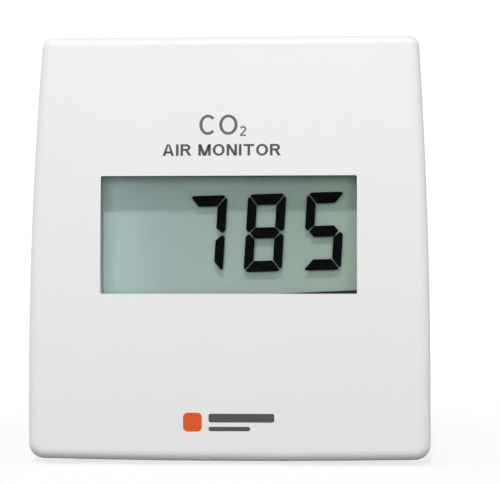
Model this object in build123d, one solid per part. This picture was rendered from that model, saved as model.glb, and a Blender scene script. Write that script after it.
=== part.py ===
"""Wall-mounted carbon dioxide transmitter with a reflective liquid crystal display.

Frame: millimetres, +Z up, the front looks along -Y. The wall is the plane y = 0, and the
origin is the centre of the back plate's face on it, so every depth inside is a negative y.

The cover hooks over a lip along the back plate's top edge and snaps onto a tongue at the
bottom. It carries the display, the main board and the infrared sensor. The back plate carries
the terminal board. A pin header joins the two boards when the cover is closed.
"""
from build123d import *
import math
import os

# --- Housing -----------------------------------------------------------------------------
WIDTH = 85.0            # across the lower half, at the wall
TOP_WIDTH = 80.4        # across the top edge, at the wall
HEIGHT = 90.0
TOP_DEPTH = 21.5        # from the wall to the front face at its top edge
BOTTOM_DEPTH = 28.0     # and at its bottom edge
FRONT_CROWN = 2.05      # how far the front face bulges out of the plane between those edges
DRAFT = 1.5             # degrees on all four sides
BOTTOM_BOW = 0.5        # the bottom edge dips this far in its middle
STRAIGHT_SIDE_TOP = -32.0   # the sides are upright below this height and curve in above it
BOTTOM_CORNER = 3.9
TOP_CORNER = 2.9
FRONT_FILLET = 2.2
WALL = 2.0
PARTING = -7.0          # back plate behind it, cover in front of it
PARTING_GAP = 0.15      # on each side of the parting plane
FIT = 0.15              # between the back plate's locating lip and the cover

# --- Hinge at the top edge ---------------------------------------------------------------
HINGE_Y = PARTING
HINGE_Z = HEIGHT / 2 - WALL / 2
BEAD_RADIUS = WALL / 2
COVE_RADIUS = 1.4
LIP_RADIUS = 2.3
CLAW_INNER = 2.45
CLAW_OUTER = 3.65
CLAW_X = 24.0
CLAW_WIDTH = 8.0
CLAW_SLOT_PLAY = 0.4
LIP_HALF_LENGTH = 35.0

# --- Wall fixing and cable entry -----------------------------------------------------------
SCREW_SPACING = 60.0
SCREW_SLOT_LENGTH = 8.0
SCREW_SLOT_WIDTH = 4.4
SCREW_SINK_DEPTH = 0.8
SCREW_SINK_MARGIN = 2.0
CABLE_WIDTH = 26.0
CABLE_HEIGHT = 18.0
CABLE_Z = 1.0
CABLE_CORNER = 3.0
COLLAR_WALL = 1.2

# --- Latch at the bottom edge ----------------------------------------------------------------
TONGUE_HALF_WIDTH = 6.0
TONGUE_TIP = -10.9
TONGUE_TOP = -41.3
TONGUE_BOTTOM = -42.6
NOSE_BOTTOM = -43.7
NOSE_HALF_WIDTH = 5.0
LATCH_SLOT = (-11.2, -8.2)
LATCH_PLAY = 0.4

# --- Vents -----------------------------------------------------------------------------------
VENT_WIDTH = 1.6
VENT_PITCH = 3.4
TOP_VENTS = (8, 4.8, (-17.6, -12.2))        # on each side: how many, the first one's x, depths
BOTTOM_VENTS = (7, 11.6, (-22.5, -11.5))

# --- Screws through the boards -----------------------------------------------------------------
PILOT_RADIUS = 1.05
BOARD_HOLE_RADIUS = 1.35
SHANK_RADIUS = 1.0
HEAD_RADIUS = 2.2
HEAD_HEIGHT = 1.6
CROSS_HALF_LENGTH = 1.3
CROSS_HALF_WIDTH = 0.22
CROSS_DEPTH = 0.9

# --- Display -------------------------------------------------------------------------------
WINDOW_WIDTH = 53.4
WINDOW_HEIGHT = 24.6
DISPLAY_Z = 2.7
PANE_WIDTH = 57.0
PANE_HEIGHT = 28.4
TAPE_HALF_WIDTH = 27.0  # the tape's cut-out, where it is wider than the window
TAPE_HALF_HEIGHT = 12.6
TAPE_BEND_X = 4.0        # where its lower edge starts to rise to the right
TAPE_RISE = 1.05
TAPE_OVERHANG = 0.2      # how much of it shows at the window's upper right corner
GLASS_WIDTH = 56.0
FRONT_GLASS_HEIGHT = 31.0
REAR_GLASS_HEIGHT = 25.6
POLARISER_HEIGHT = 27.6
POLARISER_WIDTH = 54.6
HOLDER_WIDTH = 60.0
HOLDER_HEIGHT = 34.6
FRAME_WIDTH = 62.0      # the cover's thick frame round the display
FRAME_HEIGHT = 32.8
PEG_X = 10.0            # the holder's four pegs go through the main board here
PEG_Z = 16.4
PEG_RADIUS = 0.6
STRIP_Z = 14.2          # the rubber contact strips, above and below the display's middle
STRIP_HALF_LENGTH = 26.0
STRIP_HALF_WIDTH = 0.9
DIGIT_HEIGHT = 16.38
DIGIT_WIDTH = 8.04
DIGIT_PITCH = 12.41
DIGIT_SLANT = 5.2       # degrees
DIGIT_TURN = 1.5        # degrees that the whole row is turned, so that it rises to the right
DIGIT_CORNER = 1.2
DIGIT_RISE = 0.19       # the row's middle above the window's
LAST_DIGIT_X = 19.83
LEVEL_BAR = 2.33        # thickness of the level bars
UPRIGHT_BAR = 1.95      # and of the upright ones
BAR_ROUNDING = 0.2      # at the corners of each bar
BAR_GAP = 0.17
UPRIGHT_TIP = 0.6       # the upright bars' inner tips, from the digit's side
LEVEL_TIP = 0.95        # and the middle bar's tips

# Depths of the layers from the front face back to the main board, each one's front and back.
WINDOW_SEAT = -24.6
TAPE = (-24.6, -24.45)
PANE = (-24.45, -23.25)
GASKET = (-23.25, -22.75)
BOSS_BACK = -23.0
HOLDER_FRONT = -22.65
FRONT_POLARISER = (-22.6, -22.4)
FRONT_GLASS = (-22.4, -21.3)
SEGMENTS = (-21.3, -21.2)
REAR_GLASS = (-21.2, -20.1)
REFLECTOR = (-20.1, -19.85)
BOARD = (-18.4, -16.8)

# --- Main board -----------------------------------------------------------------------------
BOARD_HALF_WIDTH = 36.5
BOARD_HALF_HEIGHT = 39.0
BOARD_CORNER = 2.0
BOARD_SCREW_X = 31.5
BOARD_SCREW_Z = 33.5
BOSS_RADIUS = 3.0
PILOT_DEPTH = 3.2
BACK_OF_BOARD = BOARD[1]

# --- Terminal board and terminal block --------------------------------------------------------
TERMINAL_BOARD = (-6.2, -4.6)
TERMINAL_BOARD_HALF_WIDTH = 19.5
TERMINAL_BOARD_BOTTOM = -31.0
TERMINAL_BOARD_TOP = -13.5
TERMINAL_SCREW_X = 16.2
TERMINAL_SCREW_Z = -22.0
POLES = 5
POLE_PITCH = 5.08
BLOCK_BOTTOM = -23.6
BLOCK_TOP = -14.2
BLOCK_FRONT = -14.6
CLAMP_TRAVEL = 1.8
CLAMP = (-11.2, -6.9)           # depths of the square rings when they are open
CLAMP_WALL = 0.55
CAVITY = (CLAMP[0] - CLAMP_TRAVEL - 0.15, CLAMP[1] + 0.1)
CAVITY_HALF_WIDTH = 1.95
WIRE_HOLE = (-10.2, -7.2)
WIRE_HALF_WIDTH = 1.6
FUNNEL_DEPTH = 0.9
BLADE = (-10.4, -10.0)
BLADE_HALF_WIDTH = 1.2
CONTACT_PIN_Z = BLOCK_BOTTOM + 1.3
CONTACT_PIN_RADIUS = 0.45
CLAMP_SCREW_Z = -18.6
CLAMP_SCREW_RADIUS = 1.2
CLAMP_SCREW_TIP = -10.6
CLAMP_HEAD = (-14.3, -13.2)
CLAMP_HEAD_RADIUS = 1.65

# --- Header between the boards ----------------------------------------------------------------
HEADER_PINS = 6
HEADER_PITCH = 2.54
HEADER_Z = -28.2
HEADER_PIN = 0.64
HEADER_PIN_PLAY = 0.02
STRIP_HALF_HEIGHT = 1.25
STRIP_FRONT = -8.7
PIN_TIP = -14.2
PIN_TAIL = -3.2
SOCKET_MOUTH = -8.9
SOCKET_HOLE = (-15.2, -8.0)
SOCKET_HALF_HEIGHT = 1.6

# --- Infrared sensor ----------------------------------------------------------------------------
SENSOR_Z = 24.0
SENSOR_BOARD = (-14.2, -13.2)
CHAMBER_HALF_LENGTH = 13.0
CHAMBER_HALF_HEIGHT = 7.0
CHAMBER_SPLIT = -9.2
CHAMBER_BACK = -5.2
CHAMBER_WALL = 1.0
CHAMBER_CORNER = 1.0
FILTER_WIDTH = 16.0
FILTER_HEIGHT = 9.0
FILTER_THICKNESS = 0.4
LAMP_RADIUS = 2.3
DETECTOR_RADIUS = 2.7
CAN_PLAY = 0.05
SENSOR_PIN_X = 16.2
SENSOR_PINS = 5

# --- Setting controls -----------------------------------------------------------------------------
SWITCH_X = -27.0
SWITCH_Z = 10.0
SWITCH_WAYS = 4
SWITCH_PITCH = 2.54
SWITCH_TRAVEL = 1.8
SWITCH_HALF_HEIGHT = 3.1
SWITCH_TOP = -13.4
BUTTON_X = -27.0
BUTTON_Z = -9.5
BUTTON_HALF = 3.0
BUTTON_TOP = -13.4
PLUNGER_RADIUS = 1.75
PLUNGER_FOOT_RADIUS = 2.2
PLUNGER_PLAY = 0.05
TRIMMER_X = -27.0
TRIMMER_Z = -20.5
TRIMMER_HALF = 3.4
TRIMMER_TOP = -12.6
ROTOR_RADIUS = 2.2
ROTOR_SEAT = -14.6

# --- Components on the main board: the x and z of each kind ---------------------------------------
PROCESSOR = (27.0, 12.0)
SMALL_CHIPS = ((27.0, 1.5), (27.0, -6.0), (18.5, 8.0))
REGULATOR = (25.0, -16.0)
CANS = ((-27.5, 25.5), (27.5, 25.5))
INDUCTOR = (28.0, -27.0)
DIODES = ((-14.0, -33.8), (14.0, -33.8), (21.0, -33.8))
CRYSTAL = (17.5, -4.5)


def block(x0, x1, y0, y1, z0, z1):
    """Box from its lowest corner to its highest."""
    return Pos((x0 + x1) / 2, (y0 + y1) / 2, (z0 + z1) / 2) * Box(x1 - x0, y1 - y0, z1 - z0)


def rod_y(x, z, radius, y0, y1):
    """Cylinder along Y."""
    return Pos(x, (y0 + y1) / 2, z) * Rot(90, 0, 0) * Cylinder(radius, y1 - y0)


def rod_x(y, z, radius, x0, x1):
    """Cylinder along X."""
    return Pos((x0 + x1) / 2, y, z) * Rot(0, 90, 0) * Cylinder(radius, x1 - x0)


def prism(sketch, front, back):
    """A sketch of the front view, extruded between two depths."""
    return Pos(0, back, 0) * extrude(Plane.XZ * sketch, amount=back - front)


def plate(width, height, radius, x, z, depths):
    """Rectangular plate with rounded corners, centred on x and z, between two depths."""
    return prism(Pos(x, z) * RectangleRounded(width, height, radius), *depths)


def ring_sector(inner, outer, start, end, x0, x1):
    """Curved bar about the hinge axis. The angles run from +Y towards +Z, in degrees."""
    outside = CenterArc((0, 0), outer, start, end - start)
    inside = CenterArc((0, 0), inner, start, end - start)
    face = make_face([outside, Line(outside @ 1, inside @ 1), inside, Line(inside @ 0, outside @ 0)])
    return Pos(x0, HINGE_Y, HINGE_Z) * extrude(Plane.YZ * face, amount=x1 - x0)


def group(solids):
    """Several loose solids as one node."""
    return Compound(children=list(solids))


def deeper(depths, margin=1.0):
    """A pair of depths widened at both ends, for a cut that goes right through."""
    return depths[0] - margin, depths[1] + margin


def four_corners(x, z, centre_z=0.0):
    """The corners of a rectangle centred on x = 0."""
    return [(side_x * x, centre_z + side_z * z) for side_x in (-1, 1) for side_z in (-1, 1)]


# --- Outer form -----------------------------------------------------------------------------------
def outline(inset):
    """Front view of the housing at the wall: upright below, curving in towards the top."""
    half, half_top = WIDTH / 2, TOP_WIDTH / 2
    low, high = -HEIGHT / 2, HEIGHT / 2
    rise = high - STRAIGHT_SIDE_TOP
    radius = (rise ** 2 + (half - half_top) ** 2) / (2 * (half - half_top))
    corner_low, knee, corner_high = (half, low + BOTTOM_BOW), (half, STRAIGHT_SIDE_TOP), (half_top, high)
    halfway = math.asin(rise / radius) / 2
    waist = (half - radius * (1 - math.cos(halfway)), STRAIGHT_SIDE_TOP + radius * math.sin(halfway))

    def mirrored(point):
        return (-point[0], point[1])

    face = make_face([
        ThreePointArc(mirrored(corner_low), (0, low), corner_low),
        Line(corner_low, knee),
        ThreePointArc(knee, waist, corner_high),
        Line(corner_high, mirrored(corner_high)),
        ThreePointArc(mirrored(corner_high), mirrored(waist), mirrored(knee)),
        Line(mirrored(knee), mirrored(corner_low)),
    ])
    if inset:
        face = offset(face, amount=-inset, kind=Kind.INTERSECTION)
    top = [v for v in face.vertices() if v.Y > 0]
    face = fillet(top, max(TOP_CORNER - inset, 0.4))
    bottom = [v for v in face.vertices() if v.Y < STRAIGHT_SIDE_TOP - 1]
    return fillet(bottom, max(BOTTOM_CORNER - inset, 0.4))


def front_depth(z, inset=0.0):
    """The y of the crowned front face at a height, or of the surface parallel to it inside."""
    chord = math.hypot(HEIGHT, BOTTOM_DEPTH - TOP_DEPTH)
    radius = chord ** 2 / (8 * FRONT_CROWN) + FRONT_CROWN / 2
    tilt = math.atan2(BOTTOM_DEPTH - TOP_DEPTH, HEIGHT)
    middle = -(TOP_DEPTH + BOTTOM_DEPTH) / 2
    centre_y = middle + (radius - FRONT_CROWN) * math.cos(tilt)
    centre_z = -(radius - FRONT_CROWN) * math.sin(tilt)
    return centre_y - math.sqrt((radius - inset) ** 2 - (z - centre_z) ** 2)


def envelope(inset=0.0):
    """The housing's outer form as a solid, or the same form a wall's thickness smaller."""
    beyond = HEIGHT / 2 + 5
    body = extrude(Plane.XZ * outline(inset), amount=BOTTOM_DEPTH + 4, taper=DRAFT)
    crown = ThreePointArc(*[(front_depth(z, inset), z) for z in (beyond, 0, -beyond)])
    side = make_face([
        crown,
        Line(crown @ 1, (1, -beyond)),
        Line((1, -beyond), (1, beyond)),
        Line((1, beyond), crown @ 0),
    ])
    body = body & extrude(Plane.YZ * side, amount=WIDTH, both=True)
    if inset < FRONT_FILLET - 1:
        front = body.faces().sort_by(Axis.Y)[0]
        body = fillet(front.edges(), FRONT_FILLET - inset)
    return body


def between(shape, y0, y1, z1=HEIGHT):
    """The part of a shape between two depths and below a height."""
    return shape & block(-WIDTH, WIDTH, y0, y1, -HEIGHT, z1)


# --- Back plate and what it carries ---------------------------------------------------------------
def wall_slots():
    """The two slots for the wall screws, each with a shallow recess for the head."""
    cuts = []
    for x in (-SCREW_SPACING / 2, SCREW_SPACING / 2):
        for margin, depth in ((0, 1), (SCREW_SINK_MARGIN, -WALL + SCREW_SINK_DEPTH)):
            slot = SlotOverall(SCREW_SLOT_LENGTH + 2 * margin, SCREW_SLOT_WIDTH + 2 * margin)
            cuts.append(prism(Pos(x, 0) * slot, -WALL - 1, depth))
    return cuts


def tray():
    """The back plate's floor and rim, with a lip inside the rim that centres the cover."""
    rim_front = PARTING + PARTING_GAP
    floor = -WALL + 0.1
    lip_inset = WALL + FIT
    lip_top = HINGE_Z - 8
    shell = between(envelope(), rim_front, 0) - between(envelope(WALL), rim_front - 1, -WALL)
    filler = envelope(WALL - 0.1) - envelope(lip_inset + 0.9)
    lip = envelope(lip_inset) - envelope(lip_inset + 1)
    return shell + between(filler, rim_front, floor, lip_top) + between(lip, PARTING - 2, floor, lip_top)


def latch_tongue():
    """Springy tongue with a nose that catches in a slot through the cover's bottom wall."""
    bar = block(-TONGUE_HALF_WIDTH, TONGUE_HALF_WIDTH, TONGUE_TIP, -WALL + 0.1, TONGUE_BOTTOM, TONGUE_TOP)
    catch = LATCH_SLOT[1] - 0.3
    root = TONGUE_BOTTOM + 0.1
    nose = make_face(Polyline(
        (catch, root), (catch, NOSE_BOTTOM), (catch - 0.7, NOSE_BOTTOM), (TONGUE_TIP + 0.1, root),
        close=True,
    ))
    return bar + Pos(-NOSE_HALF_WIDTH, 0, 0) * extrude(Plane.YZ * nose, amount=2 * NOSE_HALF_WIDTH)


def back_plate():
    """Tray against the wall, with the hinge lip, the latch tongue and the board posts."""
    body = tray()

    # The lip that the cover's claws hook round, in a cove that clears the cover's bead.
    body = body - rod_x(HINGE_Y, HINGE_Z, COVE_RADIUS, -WIDTH, WIDTH)
    body = body + ring_sector(COVE_RADIUS, LIP_RADIUS, -90, 10, -LIP_HALF_LENGTH, LIP_HALF_LENGTH)
    for side in (-1, 1):
        reach = CLAW_WIDTH / 2 + CLAW_SLOT_PLAY
        claw_x = side * CLAW_X
        body = body - ring_sector(LIP_RADIUS, CLAW_OUTER + FIT, -130, 6, claw_x - reach, claw_x + reach)

    # The tongue stands free of the lip and the floor's edge on both sides.
    gap = TONGUE_HALF_WIDTH + 2
    body = body - block(-gap, gap, PARTING - 3, -WALL, TONGUE_BOTTOM - 0.4, TONGUE_TOP + 0.3)
    body = body + latch_tongue()

    # Cable entry with a collar, and the slots for the wall screws.
    body = body - plate(CABLE_WIDTH, CABLE_HEIGHT, CABLE_CORNER, 0, CABLE_Z, (-WALL - 1, 1))
    collar = plate(
        CABLE_WIDTH + 2 * COLLAR_WALL, CABLE_HEIGHT + 2 * COLLAR_WALL, CABLE_CORNER + COLLAR_WALL,
        0, CABLE_Z, (-WALL - COLLAR_WALL, -WALL + 0.1),
    )
    body = body + (collar - plate(CABLE_WIDTH, CABLE_HEIGHT, CABLE_CORNER, 0, CABLE_Z, (-WALL - 2, 0)))
    for cut in wall_slots():
        body = body - cut

    # Posts and rests for the terminal board, and ribs that stiffen the floor.
    floor = -WALL + 0.1
    seat = TERMINAL_BOARD[1]
    for side in (-1, 1):
        x = side * TERMINAL_SCREW_X
        body = body + rod_y(x, TERMINAL_SCREW_Z, HEAD_RADIUS + 0.4, seat, floor)
        body = body - rod_y(x, TERMINAL_SCREW_Z, PILOT_RADIUS, seat - 1, -0.8)
        for rib_x, half_width, front, low, high in (
            (9, 1.0, seat, -30.5, -28.5), (24, 0.6, -4.2, -36, -10), (16, 0.6, -4.2, 14, 36),
        ):
            x = side * rib_x
            body = body + block(x - half_width, x + half_width, front, floor, low, high)
    return body


def terminal_board():
    """Small board behind the terminal block and the pin header."""
    centre_z = (TERMINAL_BOARD_BOTTOM + TERMINAL_BOARD_TOP) / 2
    height = TERMINAL_BOARD_TOP - TERMINAL_BOARD_BOTTOM
    board = plate(2 * TERMINAL_BOARD_HALF_WIDTH, height, 1.5, 0, centre_z, TERMINAL_BOARD)
    holes = [(side * TERMINAL_SCREW_X, TERMINAL_SCREW_Z, BOARD_HOLE_RADIUS) for side in (-1, 1)]
    holes += [(x, HEADER_Z, 0.5) for x in header_positions()]
    holes += [(x, CONTACT_PIN_Z, 0.7) for x in pole_positions()]
    for x, z, radius in holes:
        board = board - rod_y(x, z, radius, *deeper(TERMINAL_BOARD))
    return board


def span(a, b):
    """Two values with the lower one first."""
    return min(a, b), max(a, b)


def pan_head_screw(x, z, seat, direction, shank_length):
    """Thread-forming screw. Its head sits on the depth seat, and its shank runs the way given."""
    head_tip = seat - direction * HEAD_HEIGHT
    head = rod_y(x, z, HEAD_RADIUS, *span(seat, head_tip))
    head = fillet(head.faces().sort_by(Axis.Y)[0 if direction > 0 else -1].edges(), 0.7)
    shank = rod_y(x, z, SHANK_RADIUS, *span(seat, seat + direction * shank_length))
    recess = span(head_tip - direction * 0.01, head_tip + direction * CROSS_DEPTH)
    long, short = CROSS_HALF_LENGTH, CROSS_HALF_WIDTH
    cross = block(x - long, x + long, *recess, z - short, z + short)
    cross = cross + block(x - short, x + short, *recess, z - long, z + long)
    return head + shank - cross


def terminal_board_screws():
    """Two screws that hold the terminal board to the back plate's posts."""
    return group(
        pan_head_screw(side * TERMINAL_SCREW_X, TERMINAL_SCREW_Z, TERMINAL_BOARD[0], 1, 5.0)
        for side in (-1, 1)
    )


def pole_positions():
    """The x of each terminal pole."""
    return [(i - (POLES - 1) / 2) * POLE_PITCH for i in range(POLES)]


def terminal_housing():
    """Moulded block with a wire funnel on top and a screwdriver hole in front of each pole."""
    half = POLES * POLE_PITCH / 2
    body = block(-half, half, BLOCK_FRONT, TERMINAL_BOARD[0], BLOCK_BOTTOM, BLOCK_TOP)
    body = chamfer(body.edges().filter_by(Axis.X).sort_by(Axis.Y)[:2], 1.0)
    cavity_top = BLOCK_TOP - 1.2
    wire_y = (WIRE_HOLE[0] + WIRE_HOLE[1]) / 2
    wire_width, wire_depth = 2 * WIRE_HALF_WIDTH, WIRE_HOLE[1] - WIRE_HOLE[0]
    for x in pole_positions():
        reach = CAVITY_HALF_WIDTH
        body = body - block(x - reach, x + reach, *CAVITY, BLOCK_BOTTOM + 1, cavity_top)
        body = body - block(
            x - WIRE_HALF_WIDTH, x + WIRE_HALF_WIDTH, *WIRE_HOLE, cavity_top - 0.1, BLOCK_TOP + 1,
        )
        body = body - loft([
            Plane((x, wire_y, BLOCK_TOP - FUNNEL_DEPTH)) * Rectangle(wire_width, wire_depth),
            Plane((x, wire_y, BLOCK_TOP)) * Rectangle(wire_width + 1, wire_depth + FUNNEL_DEPTH),
        ])
        body = body - rod_y(x, CLAMP_SCREW_Z, CLAMP_HEAD_RADIUS + 0.1, BLOCK_FRONT - 1, CAVITY[0] + 0.05)
        body = body - rod_y(x, CONTACT_PIN_Z, CONTACT_PIN_RADIUS + 0.1, *deeper((-6.4, TERMINAL_BOARD[0])))
    for x in pole_positions()[1:]:
        edge = x - POLE_PITCH / 2
        body = body - block(
            edge - 0.2, edge + 0.2, BLOCK_FRONT - 1, BLOCK_FRONT + 0.4, BLOCK_BOTTOM - 1, BLOCK_TOP + 1,
        )
    return body


def terminal_contacts():
    """Fixed contact blade of each pole, bent down to its solder pin."""
    contacts = []
    foot = BLOCK_BOTTOM + 1.1
    for x in pole_positions():
        side = (x - BLADE_HALF_WIDTH, x + BLADE_HALF_WIDTH)
        blade = block(*side, *BLADE, foot, BLOCK_TOP - 1.6)
        leg = block(*side, BLADE[0], -7.0, foot, foot + 0.4)
        pin = rod_y(x, CONTACT_PIN_Z, CONTACT_PIN_RADIUS, -7.2, PIN_TAIL - 0.2)
        contacts.append(blade + leg + pin)
    return group(contacts)


def terminal_clamp(x):
    """Square ring that the screw draws forward, to press the wire against the blade."""
    half_width, low, high = CAVITY_HALF_WIDTH - 0.1, CLAMP_SCREW_Z - 2.6, CLAMP_SCREW_Z + 2.4
    inside = half_width - CLAMP_WALL + 0.1
    ring = block(x - half_width, x + half_width, *CLAMP, low, high)
    ring = ring - block(
        x - inside, x + inside, CLAMP[0] + CLAMP_WALL + 0.1, CLAMP[1] - CLAMP_WALL, low - 1, high + 1,
    )
    return ring - rod_y(x, CLAMP_SCREW_Z, CLAMP_SCREW_RADIUS + 0.1, CLAMP[0] - 1, CLAMP_SCREW_TIP + 0.6)


def terminal_screw(x):
    """Slotted clamp screw, held in the block by its head."""
    head = rod_y(x, CLAMP_SCREW_Z, CLAMP_HEAD_RADIUS, *CLAMP_HEAD)
    shank = rod_y(x, CLAMP_SCREW_Z, CLAMP_SCREW_RADIUS, CLAMP_HEAD[1] - 0.1, CLAMP_SCREW_TIP)
    driver_slot = block(
        x - 2, x + 2, CLAMP_HEAD[0] - 1, CLAMP_HEAD[0] + 0.6, CLAMP_SCREW_Z - 0.3, CLAMP_SCREW_Z + 0.3,
    )
    return head + shank - driver_slot


def header_positions():
    """The x of each pin of the header between the boards."""
    return [(i - (HEADER_PINS - 1) / 2) * HEADER_PITCH for i in range(HEADER_PINS)]


def square_holes(places, depths):
    """Square holes for pins, through an insulating strip."""
    half = HEADER_PIN / 2 + HEADER_PIN_PLAY
    return [block(x - half, x + half, *deeper(depths), z - half, z + half) for x, z in places]


def header_strip():
    """Insulating strip that holds the pins, notched between them."""
    half = HEADER_PINS * HEADER_PITCH / 2
    depths = (STRIP_FRONT, TERMINAL_BOARD[0])
    low, high = HEADER_Z - STRIP_HALF_HEIGHT, HEADER_Z + STRIP_HALF_HEIGHT
    strip = block(-half, half, *depths, low, high)
    for x in header_positions()[1:]:
        edge = x - HEADER_PITCH / 2
        for z in (low, high):
            strip = strip - block(edge - 0.4, edge + 0.4, *deeper(depths), z - 0.35, z + 0.35)
    for hole in square_holes([(x, HEADER_Z) for x in header_positions()], depths):
        strip = strip - hole
    return strip


def header_pins():
    """Square pins that plug into the main board's socket."""
    half = HEADER_PIN / 2
    pins = []
    for x in header_positions():
        pin = block(x - half, x + half, PIN_TIP, PIN_TAIL, HEADER_Z - half, HEADER_Z + half)
        pins.append(chamfer(pin.faces().sort_by(Axis.Y)[0].edges(), 0.18))
    return group(pins)


# --- Cover and what it carries ----------------------------------------------------------------------
def vent_slots():
    """Rows of slots through the top and bottom walls, for air to reach the sensor."""
    cuts = []
    for wall_z, (count, first_x, depths) in ((HEIGHT / 2, TOP_VENTS), (-HEIGHT / 2, BOTTOM_VENTS)):
        for i in range(count):
            for side in (-1, 1):
                x = side * (first_x + i * VENT_PITCH)
                cuts.append(block(x - VENT_WIDTH / 2, x + VENT_WIDTH / 2, *depths, wall_z - 5, wall_z + 5))
    return cuts


def front_cover():
    """Crowned front shell with the display opening, claws, screw bosses and vents."""
    beyond = -BOTTOM_DEPTH - 2
    back = PARTING - PARTING_GAP
    outer = envelope()
    body = between(outer, beyond, back) - between(envelope(WALL), beyond, back + 1)

    # Rounded bead along the top wall's back edge, and two claws that reach round the lip.
    body = body + (rod_x(HINGE_Y, HINGE_Z, BEAD_RADIUS, -WIDTH / 2, WIDTH / 2) & outer)
    for x in (-CLAW_X, CLAW_X):
        body = body + ring_sector(CLAW_INNER, CLAW_OUTER, -190, 0, x - CLAW_WIDTH / 2, x + CLAW_WIDTH / 2)

    # Frame round the display opening, and bosses for the main board's screws.
    inner = envelope(WALL / 2)
    frame_z = FRAME_HEIGHT / 2
    frame = block(
        -FRAME_WIDTH / 2, FRAME_WIDTH / 2, beyond, BOSS_BACK, DISPLAY_Z - frame_z, DISPLAY_Z + frame_z,
    )
    body = body + (frame & inner)
    for x, z in four_corners(BOARD_SCREW_X, BOARD_SCREW_Z):
        body = body + (rod_y(x, z, BOSS_RADIUS, beyond, BOARD[0]) & inner)
        body = body - rod_y(x, z, PILOT_RADIUS, BOARD[0] - PILOT_DEPTH, BOARD[0] + 1)

    # Display opening with the window's seat behind it.
    seat = (WINDOW_SEAT, BOSS_BACK + 1)
    body = body - plate(PANE_WIDTH + 0.4, PANE_HEIGHT + 0.4, 0.8, 0, DISPLAY_Z, seat)
    body = body - plate(WINDOW_WIDTH, WINDOW_HEIGHT, 0.3, 0, DISPLAY_Z, (beyond, BOSS_BACK))

    # Latch slot and vents.
    reach = TONGUE_HALF_WIDTH + LATCH_PLAY
    body = body - block(-reach, reach, *LATCH_SLOT, -HEIGHT / 2 - 2, TONGUE_TOP)
    for cut in vent_slots():
        body = body - cut
    return body


def display_window():
    """Clear pane behind the opening."""
    return plate(PANE_WIDTH, PANE_HEIGHT, 0.6, 0, DISPLAY_Z, PANE)


def window_tape():
    """Adhesive ring between the pane and its seat. Its cut-out was made by hand, so the dark
    tape shows along the top of the opening, at its upper right and in its lower right corner."""
    bottom, top = -TAPE_HALF_HEIGHT, WINDOW_HEIGHT / 2 - TAPE_OVERHANG / 2
    cut = Polyline(
        (-TAPE_HALF_WIDTH, bottom), (-TAPE_HALF_WIDTH, top), (WINDOW_WIDTH / 2 - TAPE_OVERHANG, top),
        (TAPE_HALF_WIDTH, bottom + TAPE_RISE), (TAPE_BEND_X, bottom), close=True,
    )
    ring = plate(PANE_WIDTH - 0.2, PANE_HEIGHT - 0.2, 0.6, 0, DISPLAY_Z, TAPE)
    return ring - prism(Pos(0, DISPLAY_Z) * make_face(cut), *deeper(TAPE))


def display_gasket():
    """Foam ring between the pane and the display, which keeps dust out."""
    ring = plate(PANE_WIDTH - 0.4, PANE_HEIGHT - 0.4, 0.6, 0, DISPLAY_Z, GASKET)
    return ring - plate(WINDOW_WIDTH + 1, WINDOW_HEIGHT + 1, 0.3, 0, DISPLAY_Z, deeper(GASKET))


def bar_outlines():
    """The seven bars of one digit, upright and centred, as polygons keyed a to g."""
    w, h, gap = DIGIT_WIDTH / 2, DIGIT_HEIGHT / 2, BAR_GAP
    inner_w, inner_h, middle_h = w - UPRIGHT_BAR, h - LEVEL_BAR, LEVEL_BAR / 2
    top = [(gap - w, h), (w - gap, h), (inner_w - gap, inner_h), (gap - inner_w, inner_h)]
    upper_right = [
        (w, h - gap), (w, UPRIGHT_TIP + gap), (w - UPRIGHT_TIP, gap),
        (inner_w, middle_h + gap), (inner_w, inner_h - gap),
    ]
    tip = w - LEVEL_TIP
    middle = [
        (-tip, 0), (-inner_w, middle_h), (inner_w, middle_h),
        (tip, 0), (inner_w, -middle_h), (-inner_w, -middle_h),
    ]

    def flipped(points, across, up):
        return [(across * x, up * y) for x, y in points]

    return {
        "a": top, "b": upper_right, "c": flipped(upper_right, 1, -1), "d": flipped(top, 1, -1),
        "e": flipped(upper_right, -1, -1), "f": flipped(upper_right, -1, 1), "g": middle,
    }


def digit(bars, x):
    """The lit bars of one digit, slanted and turned with the row, between the two glasses."""
    lean = math.tan(math.radians(DIGIT_SLANT))
    rounding = RectangleRounded(DIGIT_WIDTH, DIGIT_HEIGHT, DIGIT_CORNER)
    solids = []
    for bar in bars:
        upright = make_face(Polyline(*bar_outlines()[bar], close=True)) & rounding
        upright = offset(offset(upright, -BAR_ROUNDING), BAR_ROUNDING)
        edges = []
        for edge in upright.edges():
            points = [edge @ 0, edge @ 0.5, edge @ 1]
            leaned = [(x + p.X + p.Y * lean, p.Y) for p in points]
            straight = edge.geom_type == GeomType.LINE
            edges.append(Line(leaned[0], leaned[2]) if straight else ThreePointArc(*leaned))
        bar_face = Pos(0, DISPLAY_Z + DIGIT_RISE) * Rot(0, 0, DIGIT_TURN) * make_face(edges)
        solids.append(prism(bar_face, *SEGMENTS))
    return solids


def lcd_segments():
    """The three digits that the display shows, as thin dark bars."""
    shown = ["abc", "abcdefg", "acdfg"]
    solids = []
    for place, bars in enumerate(shown):
        solids += digit(bars, LAST_DIGIT_X - (len(shown) - 1 - place) * DIGIT_PITCH)
    return group(solids)


def lcd_sheet(width, height, depths):
    """One flat layer of the display."""
    return plate(width, height, 0.2, 0, DISPLAY_Z, depths)


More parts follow.
